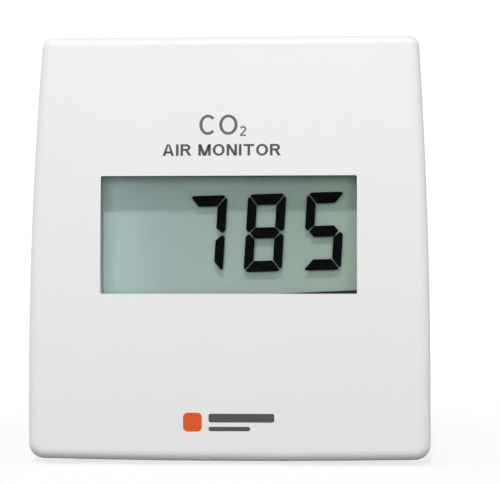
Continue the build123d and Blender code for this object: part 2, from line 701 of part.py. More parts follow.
def lcd_holder():
    """Frame that presses the glass onto the rubber contact strips, pegged through the board."""
    room = (FRONT_GLASS[0], BOARD[0] + 1)
    frame = plate(HOLDER_WIDTH, HOLDER_HEIGHT, 0.8, 0, DISPLAY_Z, (HOLDER_FRONT, BOARD[0]))
    frame = frame - plate(GLASS_WIDTH + 0.3, FRONT_GLASS_HEIGHT + 0.3, 0.2, 0, DISPLAY_Z, room)
    view = (HOLDER_FRONT - 1, BOARD[0])
    frame = frame - plate(POLARISER_WIDTH + 0.2, POLARISER_HEIGHT + 0.2, 0.2, 0, DISPLAY_Z, view)
    for x, z in four_corners(PEG_X, PEG_Z, DISPLAY_Z):
        frame = frame + rod_y(x, z, PEG_RADIUS, BOARD[0] - 0.1, BOARD[1] + 0.5)
    return frame


def zebra_strips():
    """Two rubber strips, layered so that they conduct straight through, above and below the cell."""
    strips = []
    for side in (-1, 1):
        z = DISPLAY_Z + side * STRIP_Z
        strips.append(block(
            -STRIP_HALF_LENGTH, STRIP_HALF_LENGTH, FRONT_GLASS[1], BOARD[0],
            z - STRIP_HALF_WIDTH, z + STRIP_HALF_WIDTH,
        ))
    return group(strips)


def main_board():
    """The cover's circuit board, notched at the bottom for the latch tongue."""
    board = plate(2 * BOARD_HALF_WIDTH, 2 * BOARD_HALF_HEIGHT, BOARD_CORNER, 0, 0, BOARD)
    holes = [(x, z, BOARD_HOLE_RADIUS) for x, z in four_corners(BOARD_SCREW_X, BOARD_SCREW_Z)]
    holes += [(x, z, PEG_RADIUS + 0.1) for x, z in four_corners(PEG_X, PEG_Z, DISPLAY_Z)]
    for x, z, radius in holes:
        board = board - rod_y(x, z, radius, *deeper(BOARD))
    notch = 2 * TONGUE_HALF_WIDTH + 4
    return board - plate(notch, 6, 1.5, 0, -BOARD_HALF_HEIGHT, deeper(BOARD))


def main_board_screws():
    """Four screws through the main board into the cover's bosses."""
    return group(
        pan_head_screw(x, z, BACK_OF_BOARD, -1, 4.6) for x, z in four_corners(BOARD_SCREW_X, BOARD_SCREW_Z)
    )


def header_socket():
    """Socket that the pin header plugs into. Its holes are tall, because the cover swings."""
    half = HEADER_PINS * HEADER_PITCH / 2 + 0.25
    low, high = HEADER_Z - SOCKET_HALF_HEIGHT, HEADER_Z + SOCKET_HALF_HEIGHT
    body = block(-half, half, BACK_OF_BOARD, SOCKET_MOUTH, low, high)
    for x in header_positions():
        body = body - block(x - 0.5, x + 0.5, *SOCKET_HOLE, low + 0.75, high - 0.75)
    return body


# --- Infrared sensor ----------------------------------------------------------------------------------
def sensor_pin_places():
    """Two rows of pins, at the left and right ends of the sensor board."""
    rows = [SENSOR_Z + (i - (SENSOR_PINS - 1) / 2) * HEADER_PITCH for i in range(SENSOR_PINS)]
    return [(x, z) for x in (-SENSOR_PIN_X, SENSOR_PIN_X) for z in rows]


def co2_sensor_board():
    """Daughter board under the optical chamber."""
    board = plate(36, 18, 1, 0, SENSOR_Z, SENSOR_BOARD)
    for x, z in sensor_pin_places():
        board = board - rod_y(x, z, 0.5, *deeper(SENSOR_BOARD))
    return board


def sensor_pins():
    """Pins that carry the sensor board above the main board."""
    half = HEADER_PIN / 2
    depths = (BACK_OF_BOARD, SENSOR_BOARD[1] + 0.9)
    return group(block(x - half, x + half, *depths, z - half, z + half) for x, z in sensor_pin_places())


def sensor_spacers():
    """Insulating strips round the sensor's pins."""
    depths = (BACK_OF_BOARD, SENSOR_BOARD[0])
    half_height = SENSOR_PINS * HEADER_PITCH / 2
    strips = []
    for side in (-SENSOR_PIN_X, SENSOR_PIN_X):
        strip = block(
            side - STRIP_HALF_HEIGHT, side + STRIP_HALF_HEIGHT, *depths,
            SENSOR_Z - half_height, SENSOR_Z + half_height,
        )
        for hole in square_holes([place for place in sensor_pin_places() if place[0] == side], depths):
            strip = strip - hole
        strips.append(strip)
    return group(strips)


def chamber_half(y0, y1, cavity):
    """One half of the optical chamber: a box with the measuring channel and the end ports cut in it."""
    length, height, wall = CHAMBER_HALF_LENGTH, CHAMBER_HALF_HEIGHT, CHAMBER_WALL
    box = block(-length, length, y0, y1, SENSOR_Z - height, SENSOR_Z + height)
    box = fillet(box.edges().filter_by(Axis.Y), CHAMBER_CORNER)
    box = box - block(
        wall - length, length - wall, *cavity, SENSOR_Z - height + wall, SENSOR_Z + height - wall,
    )
    box = box - rod_x(CHAMBER_SPLIT, SENSOR_Z, LAMP_RADIUS + CAN_PLAY, -length - 1, 0)
    return box - rod_x(CHAMBER_SPLIT, SENSOR_Z, DETECTOR_RADIUS + CAN_PLAY, 0, length + 1)


def chamber_base():
    """Tray half of the optical chamber, on the sensor board."""
    return chamber_half(SENSOR_BOARD[1], CHAMBER_SPLIT, (SENSOR_BOARD[1] + CHAMBER_WALL, CHAMBER_SPLIT + 1))


def chamber_lid():
    """Lid half of the optical chamber, with the air inlet and the filter's seat."""
    lid = chamber_half(CHAMBER_SPLIT, CHAMBER_BACK, (CHAMBER_SPLIT - 1, CHAMBER_BACK - CHAMBER_WALL))
    seat = (CHAMBER_BACK - FILTER_THICKNESS, CHAMBER_BACK + 1)
    lid = lid - plate(FILTER_WIDTH, FILTER_HEIGHT, 1.5, 0, SENSOR_Z, seat)
    return lid - plate(FILTER_WIDTH - 2.5, FILTER_HEIGHT - 2.5, 1.0, 0, SENSOR_Z, deeper(seat))


def dust_filter():
    """Porous membrane over the air inlet."""
    depths = (CHAMBER_BACK - FILTER_THICKNESS, CHAMBER_BACK - 0.05)
    return plate(FILTER_WIDTH - 0.2, FILTER_HEIGHT - 0.2, 1.4, 0, SENSOR_Z, depths)


def infrared_can(side, radius, length, window_radius):
    """Lamp or detector in a metal can that points into the chamber, on two legs."""
    mouth = side * (CHAMBER_HALF_LENGTH - 2.2)
    back = mouth + side * length
    can = rod_x(CHAMBER_SPLIT, SENSOR_Z, radius, *span(mouth, back))
    can = can + rod_x(CHAMBER_SPLIT, SENSOR_Z, radius + 0.35, *span(back, back - side * 0.5))
    can = can - rod_x(CHAMBER_SPLIT, SENSOR_Z, window_radius, *span(mouth - side * 0.1, mouth + side * 0.5))
    for z in (SENSOR_Z - 1.2, SENSOR_Z + 1.2):
        leg = span(back - side * 0.1, back + side * 0.55)
        can = can + block(*leg, SENSOR_BOARD[1], CHAMBER_SPLIT + 0.3, z - 0.2, z + 0.2)
    return can


# --- Setting controls ------------------------------------------------------------------------------------
def switch_positions():
    """The x of each slider."""
    return [SWITCH_X + (i - (SWITCH_WAYS - 1) / 2) * SWITCH_PITCH for i in range(SWITCH_WAYS)]


def dip_switch_body():
    """Switch block with one slot for each slider."""
    half = (SWITCH_WAYS * SWITCH_PITCH + 1.5) / 2
    low, high = SWITCH_Z - SWITCH_HALF_HEIGHT, SWITCH_Z + SWITCH_HALF_HEIGHT
    body = block(SWITCH_X - half, SWITCH_X + half, BACK_OF_BOARD, SWITCH_TOP, low, high)
    body = chamfer(body.faces().sort_by(Axis.Y)[-1].edges(), 0.25)
    for x in switch_positions():
        body = body - block(
            x - 0.75, x + 0.75, SWITCH_TOP - 1.6, SWITCH_TOP + 1, SWITCH_Z - 1.7, SWITCH_Z + 1.7,
        )
    return body


def dip_slider(index):
    """One slider. Every second one rests at the upper end of its slot, the others at the lower."""
    x = switch_positions()[index]
    z = SWITCH_Z + (SWITCH_TRAVEL / 2 if index % 2 else -SWITCH_TRAVEL / 2)
    foot = block(x - 0.65, x + 0.65, SWITCH_TOP - 1.5, SWITCH_TOP - 0.6, z - 0.7, z + 0.7)
    return foot + block(x - 0.45, x + 0.45, SWITCH_TOP - 0.7, SWITCH_TOP + 0.6, z - 0.5, z + 0.5)


def button_body():
    """Square push switch housing, with a round hole for the plunger."""
    body = block(
        BUTTON_X - BUTTON_HALF, BUTTON_X + BUTTON_HALF, BACK_OF_BOARD, BUTTON_TOP,
        BUTTON_Z - BUTTON_HALF, BUTTON_Z + BUTTON_HALF,
    )
    body = fillet(body.edges().filter_by(Axis.Y), 0.5)
    well = span(BUTTON_TOP - 2.2, BUTTON_TOP - 0.7)
    body = body - rod_y(BUTTON_X, BUTTON_Z, PLUNGER_FOOT_RADIUS + 2 * PLUNGER_PLAY, *well)
    return body - rod_y(BUTTON_X, BUTTON_Z, PLUNGER_RADIUS + PLUNGER_PLAY, BUTTON_TOP - 1.6, BUTTON_TOP + 1)


def zero_button():
    """Plunger that starts the zero calibration."""
    stem = rod_y(BUTTON_X, BUTTON_Z, PLUNGER_RADIUS, BUTTON_TOP - 1.4, BUTTON_TOP + 1.4)
    stem = fillet(stem.faces().sort_by(Axis.Y)[-1].edges(), 0.3)
    return stem + rod_y(BUTTON_X, BUTTON_Z, PLUNGER_FOOT_RADIUS, BUTTON_TOP - 1.6, BUTTON_TOP - 0.9)


def trimmer_body():
    """Square trimming potentiometer housing with a well for the rotor."""
    body = block(
        TRIMMER_X - TRIMMER_HALF, TRIMMER_X + TRIMMER_HALF, BACK_OF_BOARD, TRIMMER_TOP,
        TRIMMER_Z - TRIMMER_HALF, TRIMMER_Z + TRIMMER_HALF,
    )
    body = chamfer(body.edges().filter_by(Axis.Y).sort_by(Axis.Z)[-2:], 0.8)
    return body - rod_y(TRIMMER_X, TRIMMER_Z, ROTOR_RADIUS + 0.05, ROTOR_SEAT, TRIMMER_TOP + 1)


def trimmer_rotor():
    """Slotted rotor of the trimming potentiometer."""
    top = TRIMMER_TOP + 0.2
    rotor = rod_y(TRIMMER_X, TRIMMER_Z, ROTOR_RADIUS, ROTOR_SEAT, top)
    rotor = chamfer(rotor.faces().sort_by(Axis.Y)[-1].edges(), 0.25)
    return rotor - block(
        TRIMMER_X - 1.8, TRIMMER_X + 1.8, top - 0.9, top + 1, TRIMMER_Z - 0.35, TRIMMER_Z + 0.35,
    )


# --- Components on the main board -------------------------------------------------------------------------
def gull_leads(x, z, body_half, count, pitch, along_x):
    """Bent leads of a surface-mounted package, in a row on two opposite sides."""
    width, thickness, shoulder = pitch * 0.18, 0.2, BACK_OF_BOARD + 0.85
    leads = []
    for i in range(count):
        step = (i - (count - 1) / 2) * pitch
        for side in (-1, 1):
            near, knee, far = [side * (body_half + reach) for reach in (-0.1, 0.45, 1.0)]
            lead = Part()
            for ends, y0, y1 in (
                ((near, knee), shoulder - thickness, shoulder),
                ((knee, knee + side * thickness), BACK_OF_BOARD, shoulder),
                ((knee, far), BACK_OF_BOARD, BACK_OF_BOARD + thickness),
            ):
                low, high = span(*ends)
                if along_x:
                    lead = lead + block(x + step - width, x + step + width, y0, y1, z + low, z + high)
                else:
                    lead = lead + block(x + low, x + high, y0, y1, z + step - width, z + step + width)
            leads.append(lead)
    return leads


def moulded_body(x, z, width, height, depths, bevel):
    """Package body with bevelled edges on its free face."""
    body = block(x - width / 2, x + width / 2, *depths, z - height / 2, z + height / 2)
    return chamfer(body.faces().sort_by(Axis.Y)[-1].edges(), bevel)


def chip_body(x, z, width, height):
    """Moulded chip with a dimple at its first lead."""
    top = BACK_OF_BOARD + 1.6
    body = moulded_body(x, z, width, height, (BACK_OF_BOARD + 0.15, top), 0.2)
    return body - rod_y(x - width / 2 + 0.9, z + height / 2 - 0.9, 0.35, top - 0.1, top + 1)


def microcontroller():
    """Square processor with leads on all four sides."""
    body = chip_body(*PROCESSOR, 7.0, 7.0)
    for along_x in (True, False):
        for lead in gull_leads(*PROCESSOR, 3.5, 8, 0.8, along_x):
            body = body + lead
    return body


def interface_chips():
    """Three small outline chips: the line driver, the amplifier and the memory."""
    chips = []
    for x, z in SMALL_CHIPS:
        body = chip_body(x, z, 3.9, 4.9)
        for lead in gull_leads(x, z, 1.95, 4, 1.27, False):
            body = body + lead
        chips.append(body)
    return group(chips)


def voltage_regulator():
    """Power package with a soldered metal tab and two legs."""
    x, z = REGULATOR
    flat = (BACK_OF_BOARD, BACK_OF_BOARD + 0.5)
    body = moulded_body(x, z, 6.6, 6.0, (BACK_OF_BOARD + 0.1, BACK_OF_BOARD + 2.3), 0.3)
    body = body + block(x - 2.7, x + 2.7, *flat, z + 2.8, z + 5.0)
    for leg_x in (x - 2.3, x + 2.3):
        body = body + block(leg_x - 0.4, leg_x + 0.4, *flat, z - 5.4, z - 2.8)
    return body


def bulk_capacitors():
    """Two aluminium can capacitors on their moulded feet."""
    cans = []
    half, radius, groove_y = 3.3, 3.15, BACK_OF_BOARD + 2.2
    for x, z in CANS:
        foot = block(x - half, x + half, BACK_OF_BOARD, BACK_OF_BOARD + 1.2, z - half, z + half)
        foot = chamfer(foot.edges().filter_by(Axis.Y).sort_by(Axis.X)[-2:], 1.0)
        can = rod_y(x, z, radius, BACK_OF_BOARD + 1.1, BACK_OF_BOARD + 7.6)
        can = fillet(can.faces().sort_by(Axis.Y)[-1].edges(), 0.5)
        groove = rod_y(x, z, radius + 1, groove_y, groove_y + 0.5)
        groove = groove - rod_y(x, z, radius - 0.25, groove_y - 1, groove_y + 1)
        cans.append(foot + (can - groove))
    return group(cans)


def power_inductor():
    """Shielded coil with rounded corners and a round core."""
    x, z = INDUCTOR
    top = BACK_OF_BOARD + 3.2
    ring = plate(6.8, 6.8, 1.6, x, z, (BACK_OF_BOARD, top))
    ring = chamfer(ring.faces().sort_by(Axis.Y)[-1].edges(), 0.3)
    gap = rod_y(x, z, 2.6, top - 1, top + 1) - rod_y(x, z, 2.1, top - 1.1, top + 1.1)
    return ring - gap


def protection_diodes():
    """Three moulded diodes at the supply and signal inputs."""
    parts = []
    for x, z in DIODES:
        body = moulded_body(x, z, 4.2, 2.6, (BACK_OF_BOARD + 0.1, BACK_OF_BOARD + 2.2), 0.3)
        parts.append(body + block(x - 2.4, x + 2.4, BACK_OF_BOARD, BACK_OF_BOARD + 0.9, z - 0.7, z + 0.7))
    return group(parts)


def crystal():
    """Quartz crystal in a flat metal can on a flange."""
    flange_top = BACK_OF_BOARD + 0.6
    can = plate(4.2, 10.4, 2.0, *CRYSTAL, (flange_top - 0.1, BACK_OF_BOARD + 3.4))
    can = fillet(can.faces().sort_by(Axis.Y)[-1].edges(), 0.5)
    return can + plate(4.9, 11.1, 2.3, *CRYSTAL, (BACK_OF_BOARD, flange_top))


def chip_part(x, z, upright, height):
    """Rectangular surface-mounted part with raised metal ends."""
    long, short, cap = 2.0, 1.25, 0.45
    middle = Box(long - 0.1, height - 0.1, short - 0.06)
    ends = [Pos(side * (long - cap) / 2, 0, 0) * Box(cap, height, short) for side in (-1, 1)]
    part = middle + ends[0] + ends[1]
    turn = Rot(0, 90, 0) if upright else Rot(0, 0, 0)
    return Pos(x, BACK_OF_BOARD + height / 2, z) * turn * part


def chip_resistors():
    """Rows of chip resistors beside the controls, the processor and the line driver."""
    places = [(-33.8 + 3.4 * i, 2.2, True) for i in range(5)]
    places += [(-18.0, -3.5 - 2.6 * i, False) for i in range(4)]
    places += [(33.9, 6.2 - 3.4 * i, True) for i in range(5)]
    return group(chip_part(x, z, upright, 0.5) for x, z, upright in places)


def chip_capacitors():
    """Decoupling capacitors round the processor, the regulator and the crystal."""
    places = [(22.4 + 3.0 * i, 18.4, True) for i in range(4)]
    places += [(33.4, -14.6 - 3.2 * i, False) for i in range(3)]
    places += [(-20.6, -14.6 - 3.0 * i, False) for i in range(4)]
    return group(chip_part(x, z, upright, 0.9) for x, z, upright in places)


def all_parts():
    """Every node's shape by its name."""
    parts = {
        "back_plate": back_plate(),
        "terminal_board": terminal_board(),
        "terminal_board_screws": terminal_board_screws(),
        "terminal_housing": terminal_housing(),
        "terminal_contacts": terminal_contacts(),
        "header_strip": header_strip(),
        "header_pins": header_pins(),
        "front_cover": front_cover(),
        "display_window": display_window(),
        "window_tape": window_tape(),
        "display_gasket": display_gasket(),
        "lcd_front_polariser": lcd_sheet(POLARISER_WIDTH, POLARISER_HEIGHT, FRONT_POLARISER),
        "lcd_front_glass": lcd_sheet(GLASS_WIDTH, FRONT_GLASS_HEIGHT, FRONT_GLASS),
        "lcd_segments": lcd_segments(),
        "lcd_rear_glass": lcd_sheet(GLASS_WIDTH, REAR_GLASS_HEIGHT, REAR_GLASS),
        "lcd_reflector": lcd_sheet(POLARISER_WIDTH, REAR_GLASS_HEIGHT - 0.4, REFLECTOR),
        "lcd_holder": lcd_holder(),
        "zebra_strips": zebra_strips(),
        "main_board": main_board(),
        "main_board_screws": main_board_screws(),
        "header_socket": header_socket(),
        "co2_sensor_board": co2_sensor_board(),
        "sensor_pins": sensor_pins(),
        "sensor_spacers": sensor_spacers(),
        "chamber_base": chamber_base(),
        "chamber_lid": chamber_lid(),
        "dust_filter": dust_filter(),
        "infrared_lamp": infrared_can(-1, LAMP_RADIUS, 4.6, 1.5),
        "infrared_detector": infrared_can(1, DETECTOR_RADIUS, 4.2, 1.8),
        "dip_switch_body": dip_switch_body(),
        "button_body": button_body(),
        "zero_button": zero_button(),
        "trimmer_body": trimmer_body(),
        "trimmer_rotor": trimmer_rotor(),
        "microcontroller": microcontroller(),
        "interface_chips": interface_chips(),
        "voltage_regulator": voltage_regulator(),
        "bulk_capacitors": bulk_capacitors(),
        "power_inductor": power_inductor(),
        "protection_diodes": protection_diodes(),
        "crystal": crystal(),
        "chip_resistors": chip_resistors(),
        "chip_capacitors": chip_capacitors(),
    }
    for i, x in enumerate(pole_positions(), start=1):
        parts[f"terminal_screw_{i}"] = terminal_screw(x)
        parts[f"terminal_clamp_{i}"] = terminal_clamp(x)
    for i in range(SWITCH_WAYS):
        parts[f"dip_slider_{i + 1}"] = dip_slider(i)
    return parts


os.makedirs("parts", exist_ok=True)
for name, shape in all_parts().items():
    export_step(shape, f"parts/{name}.step")
    size = shape.bounding_box().size
    print(f"{name:24s} {size.X:7.2f} {size.Y:7.2f} {size.Z:7.2f}")
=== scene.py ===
import math

import bmesh
import bpy
from mathutils import Matrix, Vector
from mathutils.bvhtree import BVHTree


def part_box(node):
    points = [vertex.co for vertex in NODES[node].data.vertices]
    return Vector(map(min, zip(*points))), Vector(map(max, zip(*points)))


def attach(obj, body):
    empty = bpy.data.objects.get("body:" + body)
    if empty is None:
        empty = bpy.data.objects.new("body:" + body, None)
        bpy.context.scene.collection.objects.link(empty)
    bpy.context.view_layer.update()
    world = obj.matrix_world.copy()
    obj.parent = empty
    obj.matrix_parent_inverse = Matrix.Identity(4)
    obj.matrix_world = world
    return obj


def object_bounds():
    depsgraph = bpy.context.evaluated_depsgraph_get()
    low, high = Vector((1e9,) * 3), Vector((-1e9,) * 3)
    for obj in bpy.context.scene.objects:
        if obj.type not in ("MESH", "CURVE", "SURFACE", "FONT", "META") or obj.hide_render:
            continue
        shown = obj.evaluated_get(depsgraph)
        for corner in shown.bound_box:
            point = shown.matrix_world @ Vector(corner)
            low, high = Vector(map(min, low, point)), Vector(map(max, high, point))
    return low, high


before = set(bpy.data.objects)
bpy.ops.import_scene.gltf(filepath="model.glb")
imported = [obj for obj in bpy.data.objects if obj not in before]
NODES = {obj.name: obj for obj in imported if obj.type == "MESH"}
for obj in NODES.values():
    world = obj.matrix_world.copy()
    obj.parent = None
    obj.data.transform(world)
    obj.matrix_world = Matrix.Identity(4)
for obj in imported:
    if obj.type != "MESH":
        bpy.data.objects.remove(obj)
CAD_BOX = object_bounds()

MM = 0.001
WHOLE_TURN = 2 * math.pi


# --- Colours and material nodes --------------------------------------------------------------

def linear(red, green, blue):
    """Display colour, 0 to 255 in each channel, as the linear colour that shaders take."""
    def channel(value):
        value = value / 255
        return value / 12.92 if value <= 0.04045 else ((value + 0.055) / 1.055) ** 2.4
    return (channel(red), channel(green), channel(blue), 1.0)


def scaled(colour, factor):
    return tuple(min(1.0, c * factor) for c in colour[:3]) + (1.0,)


class Paint:
    """The node tree of one material. Textures lie in the frame, in metres."""

    def __init__(self, name):
        self.material = bpy.data.materials.new(name)
        self.material.use_nodes = True
        self.tree = self.material.node_tree
        self.tree.nodes.clear()
        self.output = self.tree.nodes.new("ShaderNodeOutputMaterial")
        self.place = self.tree.nodes.new("ShaderNodeTexCoord").outputs["Object"]

    def put(self, socket, value):
        if isinstance(value, bpy.types.NodeSocket):
            self.tree.links.new(value, socket)
        else:
            socket.default_value = value

    def node(self, kind, settings=None, **inputs):
        made = self.tree.nodes.new(kind)
        for name, value in (settings or {}).items():
            setattr(made, name, value)
        for name, value in inputs.items():
            self.put(made.inputs[name.replace("_", " ")], value)
        return made

    def noise(self, size, detail=2.0, stretch=(1, 1, 1)):
        """Smooth noise with features about size metres across."""
        place = self.node("ShaderNodeMapping", Vector=self.place, Scale=stretch).outputs["Vector"]
        made = self.node("ShaderNodeTexNoise", Vector=place, Scale=1 / size, Detail=detail, Roughness=0.55)
        return made.outputs["Fac"]

    def cells(self, size):
        """Distance to the nearest of many scattered points, about size metres apart."""
        made = self.node("ShaderNodeTexVoronoi", {"feature": "F1"}, Vector=self.place,
                         Scale=1 / size, Randomness=1.0)
        return made.outputs["Distance"]

    def range(self, value, a, b, c=0.0, d=1.0):
        """Carries a to c and b to d, and stays there outside them."""
        made = self.node("ShaderNodeMapRange", Value=value)
        for name, number in (("From Min", a), ("From Max", b), ("To Min", c), ("To Max", d)):
            self.put(made.inputs[name], number)
        return made.outputs["Result"]

    def blend(self, factor, a, b):
        made = self.tree.nodes.new("ShaderNodeMix")
        made.data_type = "RGBA"
        self.put(made.inputs[0], factor)
        self.put(made.inputs[6], a)
        self.put(made.inputs[7], b)
        return made.outputs[2]

    def math(self, operation, a, b=0):
        made = self.tree.nodes.new("ShaderNodeMath")
        made.operation = operation
        self.put(made.inputs[0], a)
        self.put(made.inputs[1], b)
        return made.outputs[0]

    def axis(self, index):
        return self.node("ShaderNodeSeparateXYZ", Vector=self.place).outputs[index]

    def wave(self, index, pitch):
        """A sine wave along one axis, pitch metres long."""
        return self.math("SINE", self.math("MULTIPLY", self.axis(index), WHOLE_TURN / pitch))

    def bump(self, height, depth):
        return self.node("ShaderNodeBump", Height=height, Distance=depth, Strength=1.0).outputs["Normal"]

    def shader_mix(self, share, first, second):
        """Two shaders: all first where share is 0, and all second where it is 1."""
        made = self.tree.nodes.new("ShaderNodeMixShader")
        self.put(made.inputs[0], share)
        self.tree.links.new(first.outputs[0], made.inputs[1])
        self.tree.links.new(second.outputs[0], made.inputs[2])
        return made

    def surface(self, shader):
        self.tree.links.new(shader.outputs[0], self.output.inputs["Surface"])
        return self.material

    def finish(self, **inputs):
        return self.surface(self.node("ShaderNodeBsdfPrincipled", **inputs))


# The grain, scratch and depth of the next two are in millimetres.

def plastic(name, colour, rough=0.5, grain=0.35, depth=0.006, tone=0.03, coat=0.0, specular=0.5):
    """Moulded plastic: a fine spark-eroded grain, faint flow marks and slight tone changes."""
    p = Paint(name)
    broad = p.noise(22 * MM, 3, (1, 1, 0.6))
    fine = p.noise(grain * MM, 3)
    tint = p.blend(p.range(broad, 0.3, 0.7), scaled(colour, 1 - tone), scaled(colour, 1 + tone * 0.6))
    tint = p.blend(p.range(fine, 0.35, 0.65, 0.0, 0.25), tint, scaled(colour, 1 - 1.6 * tone))
    return p.finish(
        Base_Color=tint, Roughness=p.range(p.noise(3 * MM, 3), 0.3, 0.7, rough - 0.05, rough + 0.06),
        Normal=p.bump(fine, depth * MM), Coat_Weight=coat, Coat_Roughness=0.15,
        Specular_IOR_Level=specular,
    )


def metal(name, colour, rough=0.3, stretch=(1, 1, 8), scratch=0.15, depth=0.002):
    """Metal with drawn scratches, uneven polish and slight tarnish."""
    p = Paint(name)
    lines = p.noise(scratch * MM, 4, stretch)
    blotch = p.noise(1.3 * MM, 4)
    tint = p.blend(p.range(blotch, 0.35, 0.75), colour, scaled(colour, 0.76))
    return p.finish(
        Base_Color=tint, Metallic=1.0,
        Roughness=p.range(p.math("ADD", lines, blotch), 0.6, 1.4, rough - 0.08, rough + 0.14),
        Normal=p.bump(lines, depth * MM),
    )


def housing_paint(name, colour):
    """White enclosure plastic. Its grain is finer than a hair, and handling has polished it unevenly."""
    p = Paint(name)
    fine = p.noise(0.28 * MM, 4)
    pits = p.cells(0.4 * MM)
    broad = p.noise(30 * MM, 3, (1, 1, 0.5))
    tint = p.blend(p.range(broad, 0.3, 0.7), scaled(colour, 0.985), colour)
    tint = p.blend(p.range(p.noise(2.2 * MM, 4), 0.62, 0.78, 0.0, 0.35), tint, scaled(colour, 0.955))
    height = p.math("ADD", fine, p.range(pits, 0.0, 0.5, 0.0, 0.5))
    return p.finish(
        Base_Color=tint, Roughness=p.range(p.noise(6 * MM, 4), 0.3, 0.7, 0.44, 0.56),
        Normal=p.bump(height, 0.0045 * MM), Specular_IOR_Level=0.42,
        Subsurface_Weight=0.06, Subsurface_Scale=0.6 * MM,
    )


def board_paint(name, mask):
    """Solder mask over copper: pours show as a lighter green, with plated holes between, whose bores are
    painted near black as shade.
    """
    p = Paint(name)
    pour = p.range(p.noise(9 * MM, 1.5), 0.50, 0.515)
    glass_pitch = 0.5 * MM
    weave = p.range(p.math("MULTIPLY", p.wave(0, glass_pitch), p.wave(2, glass_pitch)), -1, 1)
    tint = p.blend(pour, mask, scaled(mask, 1.55))
    tint = p.blend(p.range(weave, 0.0, 1.0, 0.0, 0.10), tint, scaled(mask, 2.0))
    holes = p.cells(4.6 * MM)
    ring = p.range(holes, 0.085, 0.070)
    # Painted shade: the bore inside each plated ring is painted near black.
    shaded_bore = p.range(holes, 0.040, 0.030)
    tint = p.blend(ring, tint, linear(196, 170, 96))
    tint = p.blend(shaded_bore, tint, (0.01, 0.01, 0.008, 1))
    height = p.math("ADD", p.math("MULTIPLY", pour, 0.6), p.math("MULTIPLY", shaded_bore, -1.0))
    return p.finish(
        Base_Color=tint, Metallic=p.math("MULTIPLY", ring, 0.8),
        Roughness=p.range(p.noise(1.1 * MM, 3), 0.3, 0.7, 0.24, 0.38),
        Normal=p.bump(height, 0.03 * MM), Coat_Weight=0.25, Coat_Roughness=0.2,
    )


def clear_paint(name, tint, rough, least, most):
    """Clear sheet that lets light straight through. It mirrors least seen square on, and most edge on."""
    p = Paint(name)
    through = p.node("ShaderNodeBsdfTransparent", Color=tint)
    smear = p.range(p.noise(9 * MM, 4, (1, 1, 2.5)), 0.45, 0.8, rough, rough * 2.2)
    mirror = p.node("ShaderNodeBsdfGlossy", Color=(1, 1, 1, 1), Roughness=smear)
    facing = p.node("ShaderNodeLayerWeight", Blend=0.5).outputs["Facing"]
    share = p.range(p.math("POWER", facing, 5.0), 0.0, 1.0, least, most)
    return p.surface(p.shader_mix(share, through, mirror))


def reflector_paint(name, left, right):
    """Film behind the display's glass: fine grain, painted lighter at both ends and darker in the middle
    against the shade that the window's edges cast on the ends, and painted shade that makes it darker and
    yellower to the right.
    """
    p = Paint(name)
    fine = p.noise(0.16 * MM, 3)
    broad = p.noise(14 * MM, 2)
    # Painted shade: the film runs darker and yellower from left to right.
    across = p.range(p.axis(0), -24 * MM, 26 * MM)
    # Painted light and shade: the middle is painted darker and the ends lighter, against the shade that the
    # window's edges cast on the ends.
    middle = p.blend(across, scaled(left, 0.94), scaled(right, 0.94))
    ends = p.blend(across, scaled(left, 1.16), scaled(right, 1.10))
    colour = p.blend(p.range(p.math("ABSOLUTE", p.axis(0)), 14 * MM, 27 * MM), middle, ends)
    tint = p.blend(p.range(fine, 0.3, 0.7, 0.0, 0.12), colour, (0.9, 0.95, 0.92, 1))
    tint = p.blend(p.range(broad, 0.3, 0.7, 0.0, 0.10), tint, (0.2, 0.24, 0.2, 1))
    return p.finish(
        Base_Color=tint, Roughness=p.range(fine, 0.3, 0.7, 0.5, 0.62),
        Normal=p.bump(fine, 0.004 * MM), Specular_IOR_Level=0.3,
    )


def ink_paint(name, colour):
    """Screen-printed ink: matt, slightly mottled where the print is thin."""
    p = Paint(name)
    thin = p.noise(0.22 * MM, 3)
    tint = p.blend(p.range(thin, 0.4, 0.75, 0.0, 0.5), colour, scaled(colour, 1.35))
    return p.finish(
        Base_Color=tint, Roughness=p.range(thin, 0.3, 0.7, 0.5, 0.7), Normal=p.bump(thin, 0.002 * MM),
    )


def weave_paint(name, colour, pitch):
    """Woven membrane: threads cross over and under each other."""
    p = Paint(name)
    crossing = p.range(p.math("MULTIPLY", p.wave(0, pitch), p.wave(2, pitch)), -1, 1)
    tint = p.blend(p.math("MULTIPLY", crossing, 0.55), colour, scaled(colour, 0.72))
    fluff = p.range(p.noise(0.8 * MM, 3), 0.3, 0.7, 0.78, 0.92)
    return p.finish(Base_Color=tint, Roughness=fluff, Normal=p.bump(crossing, 0.06 * MM), Sheen_Weight=0.15)


def foam_paint(name, colour):
    """Open foam with pores, painted darker towards each pore's middle as shade."""
    p = Paint(name)
    pores = p.cells(0.35 * MM)
    # Painted shade: the pores are painted half as bright as the foam round them.
    tint = p.blend(p.range(pores, 0.1, 0.6), scaled(colour, 0.5), colour)
    return p.finish(Base_Color=tint, Roughness=0.9, Normal=p.bump(pores, 0.08 * MM))


def layered_rubber_paint(name):
    """Thin layers of conducting black between layers of soft insulating pink."""
    p = Paint(name)
    stripe = p.wave(0, 0.18 * MM)
    tint = p.blend(p.range(stripe, -0.2, 0.2), (0.03, 0.03, 0.03, 1), linear(200, 150, 150))
    wear = p.range(p.noise(0.6 * MM, 3), 0.3, 0.7, 0.62, 0.78)
    return p.finish(Base_Color=tint, Roughness=wear, Normal=p.bump(stripe, 0.004 * MM))


EVEN = (1, 1, 1)
ALONG_X = (8, 1, 1)
ALONG_Y = (1, 8, 1)
WARM_WHITE = linear(236, 236, 230)

